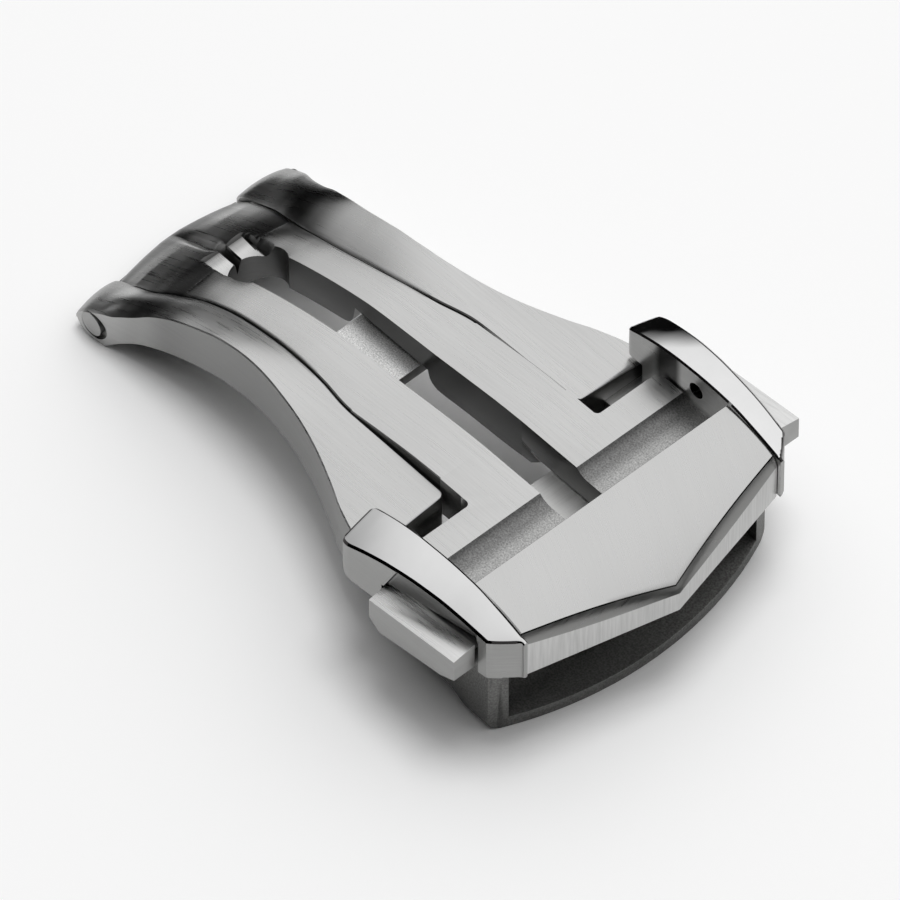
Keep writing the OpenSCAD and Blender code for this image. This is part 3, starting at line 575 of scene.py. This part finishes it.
leg_stations = np.concatenate([spaced(-KNUCKLE_R, 2.5, 26, 0.8), spaced(2.6, 24.2, 60),
                               spaced(24.25, LEG_END, 14, 0, 0.9)])
leg_left = loft("leg_left", [leg_loop(x) for x in leg_stations])
cut(leg_left, rod("pin_seat", PIN_SEAT_X, PIN_SEAT_Z, PIN_SEAT_D, 7.0, 8.0))
shade(leg_left)
leg_right = mirrored(leg_left, "leg_right")
for leg in (leg_left, leg_right):
    # The legs' tops carry painted dark reflection bands near the hinge, their walls painted shade.
    paint_walls(leg, leg_steel, leg_wall_shaded_steel, 0.5)
    dress(leg, "lower_blade", "outer_blade")


# Bridge plate of the lower blade, seen through the slot

BRIDGE_X = (11.75, 16.45)
BRIDGE_H = 4.3
BRIDGE_Z = (4.55, 5.3)
bridge = block("bridge_plate", (BRIDGE_X[0], -BRIDGE_H, BRIDGE_Z[0]), (BRIDGE_X[1], BRIDGE_H, BRIDGE_Z[1]))
bevel(bridge, 0.06)
shade(bridge)
# The bridge's walls take the slot's painted shade.
paint_walls(bridge, bridge_steel, slot_shade_steel)
dress(bridge, "lower_blade", "outer_blade")


# Lobes and prongs of the centre blade

SLOT_START = 3.4
SLOT_END_R = 1.65     # widened round end of the slot
SLOT_X = SLOT_START + SLOT_END_R
SLOT_H = 1.3          # the slot's straight sides
TUCK = 0.003          # how far the arch stays inside the T-bar where they overlap
TUCK_START = BAR_START - 0.2
BLADE_END = BAR_START + 0.4
BLADE_EDGE = 0.06
BLADE_RAKE = 0.6      # how much less the nose reaches back at the groove
BLADE_RAKE_H = 4.3    # h of the groove there
LOW_FLAT = 0.05       # underside of the blade up to the first point of its arch
blade_z = curve((-NOSE, 0.8), (-1.6, 1.25), (-0.8, 1.8), (0.0, 2.25), (1.2, 2.88), (3.0, 3.78),
                (5.33, 4.76), (7.6, 5.57), (10.96, 6.47), (12.83, 6.82), (15.5, 7.06), (17.44, 7.2),
                (19.9, 7.43), (22.42, 7.655), (23.6, 7.72), (BAR_START, 7.745), (BLADE_END, 7.748))
blade_fall = curve((-NOSE, 0.2), (0.0, 0.38), (3.0, 0.32), (6.0, 0.14), (12.0, 0.2), (17.4, 0.12),
                   (20.0, 0.03), (22.0, 0.0), (BLADE_END, 0.0))
blade_hump = curve((-NOSE, 0.1), (2.0, 0.16), (5.0, 0.06), (8.0, 0.0), (BLADE_END, 0.0))
blade_under = curve((1.0, LOW_FLAT), (1.8, 0.3), (3.0, 1.0), (5.0, 2.1), (7.6, 3.0), (9.6, 3.55),
                    (10.3, 3.72), (10.75, 3.9), (11.05, 4.25), (11.2, 4.75), (11.3, 5.45), (17.05, 5.45),
                    (17.15, 5.0), (17.4, 4.65), (17.9, 4.45), (20.0, 4.62), (24.7, 4.98), (24.95, 5.12),
                    (ARCH_END, 5.5))

# V groove between the lobes, and the level seats milled into them beside the slot's end
vee_depth = curve((-NOSE, 0.06), (-1.0, 0.22), (1.0, 0.5), (2.0, 0.6), (2.8, 1.1), (4.2, 1.1), (4.4, 0.0),
                  (BLADE_END, 0.0))
VEE_W = 0.62          # half the groove's width
VEE_W_LEAST = 0.24
VEE_TAPER = 0.45      # how much narrower it gets per millimetre
VEE_TAPER_X = 1.4     # and from where
SEAT_X = 2.1
SEAT_Z = 3.4          # height of the seats at SEAT_X
SEAT_FALL = 0.03      # fall of the seats per millimetre forward
SEAT_FLAT = 1.3       # h where a seat starts to rise
SEAT_H = 1.65
SEAT_FRONT = 4.15     # x where a seat starts to rise
SEAT_RUN = 0.8
SEAT_END = 5.2


def dished(x, h, z):
    """Height of the lobes at x and h after the seats and the groove between them are cut."""
    if x < SEAT_END:
        beside = max(0.0, (h - SEAT_FLAT) / (SEAT_H - SEAT_FLAT))
        ahead = max(0.0, (x - SEAT_FRONT) / SEAT_RUN)
        z = min(z, SEAT_Z - SEAT_FALL * (x - SEAT_X) + 0.9 * beside ** 2 + 1.6 * ahead ** 2)
    width = VEE_W if x < VEE_TAPER_X else max(VEE_W_LEAST, VEE_W - VEE_TAPER * (x - VEE_TAPER_X))
    return z - vee_depth(x) * max(0.0, 1 - h / width) ** 1.2


def slot_half(x):
    """Half the slot's width at x, or 0 behind it."""
    if x <= SLOT_START:
        return 0.0
    end = math.sqrt(max(SLOT_END_R ** 2 - (x - SLOT_X) ** 2, 0))
    straight = SLOT_H if x < TUCK_START else SLOT_H + TUCK
    return end if x < SLOT_X else max(end, straight)


def blade_loop(x):
    """Section of the centre blade's left half at x, from its lower corner at the slot over its top."""
    inner = slot_half(x)
    outer = groove(x) - groove_gap(x) / 2 if x < GROOVE_TURN else HALF_BLADE
    outer = min(outer, HALF_BLADE if x < TUCK_START else HALF_BLADE - TUCK)
    drop = 0.5 * rounding(x, -NOSE, 0.6, 1)
    low = LOW_FLAT if x < 1.0 else blade_under(x)
    low += 0.6 * rounding(x, -NOSE, 0.8, 1)
    top = []
    for t in np.linspace(0, 1, 29):
        s = t ** 1.3
        h = inner + s * (outer - BLADE_EDGE - inner)
        z = blade_z(x) - drop + blade_hump(x) * 4 * s * (1 - s) - blade_fall(x) * s ** 2.5
        top.append((x, h, dished(x, h, z)))
    points = [(x, inner, low)] + top + [(x, outer, top[-1][2] - BLADE_EDGE), (x, outer, low)]
    rake = BLADE_RAKE * min(1.0, max(0.0, -x / NOSE))
    return [(px + rake * h / BLADE_RAKE_H, h, z) for px, h, z in points]


blade_stations = np.concatenate([
    spaced(-NOSE, 1.6, 34, 0.8), spaced(1.65, SLOT_START, 34),
    SLOT_START + SLOT_END_R * (1 - np.cos(np.linspace(0.02, math.pi / 2, 26))),
    spaced(SLOT_X + 0.08, SLOT_X + 1.01, 12), [SLOT_X + 1.0165, SLOT_X + 1.1],
    spaced(6.6, 10.2, 22), spaced(10.3, 11.3, 12), spaced(11.5, 16.8, 18),
    spaced(17.05, 17.9, 12), spaced(18.1, 24.6, 22), spaced(24.65, ARCH_END, 8)])


def in_slot(y, normal):
    """Whether a face is a wall of the slot."""
    return abs(normal.z) < 0.5 and abs(y) < SLOT_END_R + 0.05


def on_far_edge(y, normal):
    """Whether a face lies on the far prong's upper outer edge, dark in the photograph."""
    return y > HALF_BLADE - 0.1 and normal.y > 0.4 and normal.z > 0.4


def arch_finish(x, y, z, normal):
    """The steel that a face of the lobes or prongs shows."""
    # Seats take painted shade at their ends, slot walls and other walls painted shade, and the far prong's
    # upper edge a painted dark shadow line.
    if normal.z > 0.93 and 1.7 < x < 4.6 and 0.22 < abs(y) < 1.6 and z < blade_z(x) - 0.03:
        return seat_steel
    if in_slot(y, normal):
        return slot_shade_steel
    if x > 17.2 and on_far_edge(y, normal):
        return dark_edge_painted_steel
    return wall_shaded_steel if abs(normal.z) < 0.6 else blade_steel


arch = loft("centre_blade_arch", [blade_loop(x) for x in blade_stations])
doubled(arch)
shade(arch)
paint(arch, blade_steel, wall_shaded_steel, seat_steel, slot_shade_steel, dark_edge_painted_steel, choose=arch_finish)
dress(arch, "upper_blade", "centre_blade")


# T-bar of the centre blade

COVE_START = REACH - 7.44
COVE_LOW = 7.3
NOTCH_REAR = 25.6
NOTCH_X = 26.75       # notch between leg and T-bar, with its inner corner rounded
NOTCH_H = 4.505
NOTCH_R = 0.3
SILL_H = 8.992        # outer sides of the sills at the ends of the arms
SILL_IN = 8.8
SILL_X = (28.1, 34.0)
SILL_Z = (6.1, 7.32)


def bar_finish(x, y, z, normal):
    """The steel that a face of the T-bar shows."""
    if x > COVE_START and z > COVE_LOW:
        return cove_steel
    if in_slot(y, normal):
        return slot_shade_steel
    # Painted dark shadow line along the far prong's upper edge, up to the notch.
    return dark_edge_painted_steel if x < NOTCH_REAR + 0.1 and on_far_edge(y, normal) else blade_steel


bar = cad_copy("centre_blade", "t_bar")
bevel(bar, 0.05, 35)
cut(bar, block("t_bar_stretch", (BAR_START, -9.5, 4.0), (36.0, 9.5, 9.0)), "INTERSECT")
for low, high in ((SILL_IN, SILL_H), (-SILL_H, -SILL_IN)):
    cut(bar, block("sill", (SILL_X[0], low, SILL_Z[0]), (SILL_X[1], high, SILL_Z[1])), "UNION")
corner = [(NOTCH_REAR, NOTCH_H), (NOTCH_X - NOTCH_R, NOTCH_H)]
corner += [(NOTCH_X - NOTCH_R + NOTCH_R * math.sin(a), NOTCH_H + NOTCH_R - NOTCH_R * math.cos(a))
           for a in np.linspace(0.15, math.pi / 2, 8)]
corner += [(NOTCH_X, 5.5), (NOTCH_REAR, 5.5)]
for side in (1, -1):
    cut(bar, prism("notch_corner", [(x, side * h) for x, h in corner], 3.0, 9.0, "z"))
shade(bar)
paint(bar, blade_steel, cove_steel, slot_shade_steel, dark_edge_painted_steel, choose=bar_finish)
dress(bar, "upper_blade", "centre_blade")


# Horns, with a scoop and a window for each pusher

HORN_START = 24.15
HORN_BEND = 34.65     # where the outer side turns in toward the front tip
HORN_BEND_H = 10.6
HORN_LOW = 5.4
HORN_EDGE = 0.12
HORN_SHADE = 28       # edges that turn by more degrees than this stay sharp
# The far horn's dark strip is a painted reflection.
STRIP_W = 0.21        # dark strip along the far horn's outer edge
BAR_HOLE_X = REACH - 6.55  # hole for the spring bar's tip
BAR_HOLE_Z = 8.6
BAR_HOLE_D = 1.0
PUSHER_START = 27.4
PUSHER_LONG = 6.6
PUSHER_TOP = 6.85     # pusher's outer upper edge at its start
PUSHER_CLIMB = 0.8    # how much higher that edge is at the front
PUSHER_RISE = 0.28    # how far the pusher's top rises toward the horn
PUSHER_PLAY = 0.07    # gap above the pusher in its window
SCOOP = 0.28          # depth of the scoop above the pusher
SCOOP_START = 27.32
NECK_TOP = 7.28       # top of the rooms for the pusher's inner parts
CLEAR_H = 13.0        # h beyond every outer side
horn_out = curve((HORN_START, 11.5), (26.26, 11.36), (27.9, 11.24), (29.66, 11.08), (31.3, 10.92),
                 (32.7, 10.8), (HORN_BEND, HORN_BEND_H), (REACH, 10.45))
horn_z_in = curve((HORN_START, 9.05), (25.3, 9.42), (26.8, 9.76), (28.2, 9.92), (30.0, 9.97),
                  (32.1, 9.83), (34.0, 9.34), (35.2, 8.93), (REACH, 8.58))
horn_z_out = curve((HORN_START, 8.14), (26.26, 8.82), (27.9, 9.16), (29.66, 9.3), (31.3, 9.24),
                   (32.7, 9.05), (HORN_BEND, 8.58), (REACH, 8.12))


def horn_edge(x):
    """Outer side of the horn, with its slanting front end."""
    if x <= HORN_BEND:
        return horn_out(x)
    return HORN_BEND_H + (HALF_STRAP - HORN_BEND_H) * ((x - HORN_BEND) / (REACH - HORN_BEND)) ** 1.15


def horn_loop(x):
    """Section of the left horn at x, from its lower inner corner over its top."""
    inner = HALF_STRAP + 0.7 * rounding(x, HORN_START, 0.4, 1)
    outer = max(horn_edge(x) - 0.5 * rounding(x, HORN_START, 0.9, 1), inner + 0.25)
    ends = rounding(x, HORN_START, 0.17, 1)
    z_in = horn_z_in(x) - ends
    fall = (z_in - horn_z_out(x) + ends) / (horn_out(x) - HALF_STRAP)
    z_out = z_in - fall * (outer - HALF_STRAP)
    z_side = z_in - fall * (inner - HALF_STRAP)
    low = HORN_LOW + rounding(x, HORN_START, 1.0, 1) + rounding(x, REACH, 0.4, -1)
    edge = min(HORN_EDGE, (outer - inner) / 4)
    top = []
    for t in (0, 0.06, 0.18, 0.3, 0.42, 0.54, 0.66, 0.78, 0.88, 0.955, 1):
        h = inner + edge + t * (outer - inner - 2 * edge)
        top.append((x, h, z_in - fall * (h - HALF_STRAP) + 0.04 * (outer - inner) * t * (1 - t)))
    return ([(x, inner, low), (x, inner, z_side - edge)] + top
            + [(x, outer, z_out - edge), (x, outer, low + 0.25), (x, outer - min(0.25, edge * 2), low)])


def pusher_line(x):
    """Height of the pusher's outer upper edge at x."""
    return PUSHER_TOP + (x - PUSHER_START) / PUSHER_LONG * PUSHER_CLIMB


def scoop_loop(x):
    """Section of what is taken from the horn's outer side above the pusher."""
    line, out = pusher_line(x), horn_edge(x)
    crest = min(horn_z_out(x) - 0.14, line + 0.1 + 1.9 * (x - SCOOP_START))
    return [(x, out - SCOOP, line - 0.5), (x, out - SCOOP, crest - 0.06), (x, out - 0.7 * SCOOP, crest),
            (x, CLEAR_H, crest + 0.3), (x, CLEAR_H, line - 0.5)]


def horn_finish(x, y, z, normal):
    """The steel that a face of the left horn shows."""
    # Bevels between top and sides take painted dark reflections, the outer sides painted shade and the
    # inner walls painted light.
    if z > 8.0 and normal.z > 0.25:
        return top_steel if normal.z > 0.84 else dark_edge_painted_steel
    return inner_light_and_shadow_steel if normal.y < -0.8 else side_shaded_steel


def far_horn_finish(x, y, z, normal):
    """The same, with a painted dark reflection strip along the far horn's top outer edge."""
    steel = horn_finish(x, y, z, normal)
    return dark_edge_painted_steel if steel == top_steel and horn_edge(x) - y < STRIP_W else steel


horn_stations = np.concatenate([spaced(HORN_START, 25.4, 18, 0.9), spaced(25.5, 34.5, 44), [HORN_BEND],
                                spaced(34.72, REACH, 14, 0, 0.8)])
scoop_stations = np.concatenate([np.linspace(SCOOP_START, 28.5, 14), np.linspace(28.7, 34.0, 26)])
window_top = PUSHER_TOP + PUSHER_RISE + PUSHER_PLAY
window = [(27.3, 5.0), (27.3, window_top), (34.1, window_top + PUSHER_CLIMB), (34.1, 5.0), (32.9, 4.4),
          (28.2, 4.4)]
horn = loft("horn_left_body", [horn_loop(x) for x in horn_stations], HORN_SHADE)
cut(horn, loft("scoop", [scoop_loop(x) for x in scoop_stations]))
cut(horn, prism("window", window, 10.0, 14.0))
for room, start, end, out, top in (("loop_room", 20.0, 40.0, 10.0, 5.7),
                                   ("leg_room", 20.0, 25.4, 10.0, 7.0),
                                   ("neck_room", 28.2, 33.9, CLEAR_H, NECK_TOP),
                                   ("tongue_room", 32.0, 34.7, 9.6, NECK_TOP)):
    cut(horn, block(room, (start, 8.0, 3.0), (end, out, top)))
cut(horn, rod("bar_hole", BAR_HOLE_X, BAR_HOLE_Z, BAR_HOLE_D, 8.0, 10.3))
shade(horn, HORN_SHADE)
finishes = (side_shaded_steel, top_steel, dark_edge_painted_steel, inner_light_and_shadow_steel)
paint(horn, *finishes, choose=horn_finish)
horn_right = mirrored(horn, "horn_right_body", HORN_SHADE)
paint(horn, *finishes, choose=far_horn_finish)
dress(horn, "upper_blade", "horn_left")
dress(horn_right, "upper_blade", "horn_right")


# Chevron cover plate, its front face hollowed below the edge

PLATE_REAR = REACH - 4.2
PLATE_H = 8.96
PLATE_R = 10.0
PLATE_TOP = 9.56
PLATE_CREST = REACH - 4.7
PLATE_UNDER = 7.35
PLATE_EDGE = 0.06
POINT = REACH + 1.95  # tip of the chevron
SWEEP = 2.2           # how far back the ends of the front lie from the tip
SKIRT_LOW = 5.5       # lower edge of the front
SKIRT_THICK = 0.9
# The dark lines along the plate's rear and front edge are painted reflections and shade.
LINE_W = 0.05         # dark line along the rear and the front edge
LINE_DROP = 0.07      # how far the line falls along the front edge
LINE_LOW = 7.3        # just below the line at the tip
RIM = 0.34            # how far the top ends behind the front, at the tip and the ends
RIM_SWELL = 0.1       # and how much further between them
HOLLOW = 0.42         # height of the hollow at the tip
HOLLOW_GAIN = 0.22    # how much taller it is at the ends
HOLLOW_SWELL = 0.3    # and between them


def dome(x):
    """Height of the plate's top at x."""
    return PLATE_TOP - PLATE_R + math.sqrt(PLATE_R ** 2 - (x - PLATE_CREST) ** 2)


def chevron(h):
    """Front of the skirt at h, the top's front edge, and how tall the hollow between them is."""
    share = h / PLATE_H
    swell = math.sin(math.pi * share)
    front = POINT - SWEEP * share
    return front, front - RIM - RIM_SWELL * swell, HOLLOW + HOLLOW_GAIN * share + HOLLOW_SWELL * swell


def plate_loop(y):
    """Section of the plate at y, from its lower rear corner over its top and down its front."""
    front, edge, tall = chevron(abs(y))
    side = 0.5 * rounding(PLATE_H - abs(y), 0, 0.08, 1)
    rear_z = dome(PLATE_REAR) - side
    line_end = PLATE_REAR + LINE_W
    points = [(PLATE_REAR, y, PLATE_UNDER), (PLATE_REAR, y, rear_z - PLATE_EDGE), (line_end, y, rear_z)]
    for t in np.linspace(0.05, 1, 22):
        x = line_end + t * (edge - line_end)
        points.append((x, y, dome(x) - side))
    z = dome(edge) - side - LINE_DROP
    points.append((edge + LINE_W, y, z))
    for t in (0.3, 0.6, 0.85, 1.0):
        points.append((edge + LINE_W + (front - edge - LINE_W) * t ** 0.8, y, z - (tall - LINE_DROP) * t))
    back = front - SKIRT_THICK
    return points + [(front, y, SKIRT_LOW + PLATE_EDGE), (front - PLATE_EDGE, y, SKIRT_LOW),
                     (back, y, SKIRT_LOW), (back, y, PLATE_UNDER)]


def plate_finish(x, y, z, normal):
    """The steel that a face of the plate shows."""
    edge, tall = chevron(abs(y))[1:]
    at_rear = x < PLATE_REAR + LINE_W
    at_edge = 0.0 < x - edge < LINE_W and normal.z > 0.2
    # Painted dark lines at the rear and front edges, and painted shade in the hollow below the edge.
    if z > LINE_LOW and (at_rear or at_edge):
        return dark_edge_painted_steel
    if x > edge or abs(y) > PLATE_H - 0.02:
        return plate_hollow_shade_steel if z > dome(edge) - tall - 0.02 else front_steel
    return plate_steel


half_rows = spaced(0, PLATE_H, 26, 0, 0.8)
rows = np.concatenate([-half_rows[::-1], half_rows[1:]])
plate = loft("cover_plate_body", [plate_loop(y) for y in rows], 24)
paint(plate, plate_steel, dark_edge_painted_steel, plate_hollow_shade_steel, front_steel, choose=plate_finish)
dress(plate, "upper_blade", "cover_plate")


# Pushers, their tops rising toward the horns

PUSHER_OUT = 12.27
PUSHER_SLOPE = 1.47   # width over which their tops rise
PUSHER_CREST = 10.7   # h just inside that slope
for side in ("left", "right"):
    button = cad_copy("pusher_" + side, "pusher_" + side + "_body")
    for v in button.data.vertices:
        x, y, z = drawn(v.co)
        if abs(y) > PUSHER_CREST and z > pusher_line(x) - 0.3:
            v.co.z += PUSHER_RISE * (PUSHER_OUT - abs(y)) / PUSHER_SLOPE * MM
    bevel(button, 0.12, 30, 3)
    shade(button)
    # The pushers' walls take the sides' painted shade.
    paint_walls(button, button_steel, side_shaded_steel)
    dress(button, side + "_pusher", "pusher_" + side)


# Strap loop, its lower front corners rounded

LOOP_R = 0.7
LOOP_MARGIN = 0.2     # how far the cutting shape reaches past the loop
DECK_LOW = 4.8
DECK_H = 8.8


def loop_finish(x, y, z, normal):
    """The steel that a face of the loop shows, with painted light on the deck seen through the slot."""
    return deck_lit_steel if z > DECK_LOW and abs(y) < DECK_H else loop_shaded_steel


loop = cad_copy("strap_loop", "strap_loop_body")
bevel(loop, 0.06)
arc = [(HALF_WALL - LOOP_R, -LOOP_MARGIN)]
arc += [(HALF_WALL - LOOP_R * (1 - math.sin(a)), LOOP_R * (1 - math.cos(a)))
        for a in np.linspace(0, math.pi / 2, 12)]
arc += [(HALF_WALL + LOOP_MARGIN, LOOP_R), (HALF_WALL + LOOP_MARGIN, -LOOP_MARGIN)]
for side in (1, -1):
    cut(loop, loft("corner_round", [[(x, side * h, z) for h, z in arc] for x in (31.0, 40.0)]))
shade(loop)
paint(loop, loop_shaded_steel, deck_lit_steel, choose=loop_finish)
dress(loop, "lower_blade", "strap_loop")


# Clamp flap

flap = cad_copy("clamp_flap", "clamp_flap_body")
bevel(flap, 0.05)
shade(flap)
# The flap takes the loop's painted shade.
paint(flap, loop_shaded_steel)
dress(flap, "flap", "clamp_flap")


# Floor and flag materials

def dull(shader, rough):
    """Takes the shine off a material of the stage."""
    shader.inputs["Roughness"].default_value = rough
    shader.inputs["Specular IOR Level"].default_value = 0.0


def floor_paper():
    """Paper that is pale as far as the views reach and dark beyond."""
    mat, nt, shader = tree("floor_pale")
    coords = nt.nodes.new("ShaderNodeTexCoord")
    away = nt.nodes.new("ShaderNodeVectorMath")
    away.operation = "LENGTH"
    nt.links.new(coords.outputs["Object"], away.inputs[0])
    far = ranged(nt, away.outputs["Value"], 0, 1, 0.4, 0.9)
    nt.links.new(tinted(nt, far, grey(0.96), grey(0.05)), shader.inputs["Base Color"])
    dull(shader, 0.9)
    return mat


def flag_cloth():
    """Nearly black cloth."""
    mat, nt, shader = tree("flag_cloth")
    weave = noise(nt, (3000,) * 3)
    nt.links.new(tinted(nt, weave, grey(0.004), grey(0.012)), shader.inputs["Base Color"])
    dull(shader, 1.0)
    return mat


# Floor, just below the lowest point

FLOOR_Z = -0.00003    # metres
bpy.ops.mesh.primitive_plane_add(size=4.0, location=(0, 0, FLOOR_Z))
floor = bpy.context.object
floor.name = "floor"
paint(floor, floor_paper())


# Sky, bright toward one side of the zenith and dark near the horizon

SKY_BRIGHT = (-0.12, 0.62, 0.775)  # toward its brightest place
world = bpy.data.worlds.new("studio")
bpy.context.scene.world = world
world.use_nodes = True
nt = world.node_tree
nt.nodes.clear()
out = nt.nodes.new("ShaderNodeOutputWorld")
sky = nt.nodes.new("ShaderNodeBackground")
coords = nt.nodes.new("ShaderNodeTexCoord")
tilt = nt.nodes.new("ShaderNodeVectorMath")
tilt.operation = "DOT_PRODUCT"
tilt.inputs[1].default_value = SKY_BRIGHT
nt.links.new(coords.outputs["Generated"], tilt.inputs[0])
glow = grey_ramp(nt, tilt.outputs["Value"], ((0.15, 0.02), (0.28, 0.15), (0.42, 0.5), (0.54, 0.78),
                                             (0.68, 0.92), (0.82, 1.0), (1.0, 1.05)))
height = nt.nodes.new("ShaderNodeSeparateXYZ")
nt.links.new(coords.outputs["Generated"], height.inputs[0])
above = ranged(nt, height.outputs["Z"], 0, 1, 0.03, 0.24)
nt.links.new(times(nt, glow, above), sky.inputs["Color"])
nt.links.new(sky.outputs[0], out.inputs[0])
sky.inputs["Strength"].default_value = 1.0


# Softbox above the object, aimed at its middle, with places in metres

AIM = (0.0, 0.0, 0.004)
LAMP_PLACE = (0.0, 0.1, 0.7)
light = bpy.data.lights.new("overhead", "AREA")
light.shape = "DISK"
light.size = 0.32
light.energy = 1.85
softbox = placed("overhead", light)
softbox.location = LAMP_PLACE
softbox.visible_glossy = False
toward = np.array(AIM) - np.array(LAMP_PLACE)
softbox.rotation_euler = (math.atan2(math.hypot(toward[0], toward[1]), -toward[2]), 0,
                          math.atan2(-toward[0], toward[1]))


# A dark flag behind the object, seen only in its reflections

FLAG_W = 90.0
FLAG_TALL = 10.0
FLAG_PLACE = (-0.037, 0.036, 0)  # metres
FLAG_TURN = 137.7     # degrees
outline = [(-0.5, 0.0), (0.5, 0.0), (0.5, FLAG_TALL), (-0.5, FLAG_TALL)]
flag = prism("flag", outline, -FLAG_W / 2, FLAG_W / 2)
flag.location = FLAG_PLACE
flag.rotation_euler = (0, 0, math.radians(FLAG_TURN))
flag.visible_camera = flag.visible_diffuse = flag.visible_shadow = False
paint(flag, flag_cloth())


# Camera of the photograph

FRAME_PX = 900        # width and height of the photograph
FOCAL_PX = 17887      # focal length found from the part's symmetry and flat base
SENSOR = 36.0
CAMERA_PLACE = (0.4476, -0.4052, 0.7315)  # metres
CAMERA_TILT = 39.56   # degrees from looking straight down
CAMERA_TURN = 47.70   # degrees about z
camera = bpy.data.cameras.new("camera")
camera.sensor_width = SENSOR
camera.lens = SENSOR * FOCAL_PX / FRAME_PX
camera.clip_start, camera.clip_end = 0.05, 20.0
view = placed("camera", camera)
view.location = CAMERA_PLACE
view.rotation_euler = (math.radians(CAMERA_TILT), 0, math.radians(CAMERA_TURN))
bpy.context.scene.camera = view
bpy.context.scene.view_settings.view_transform = "Standard"
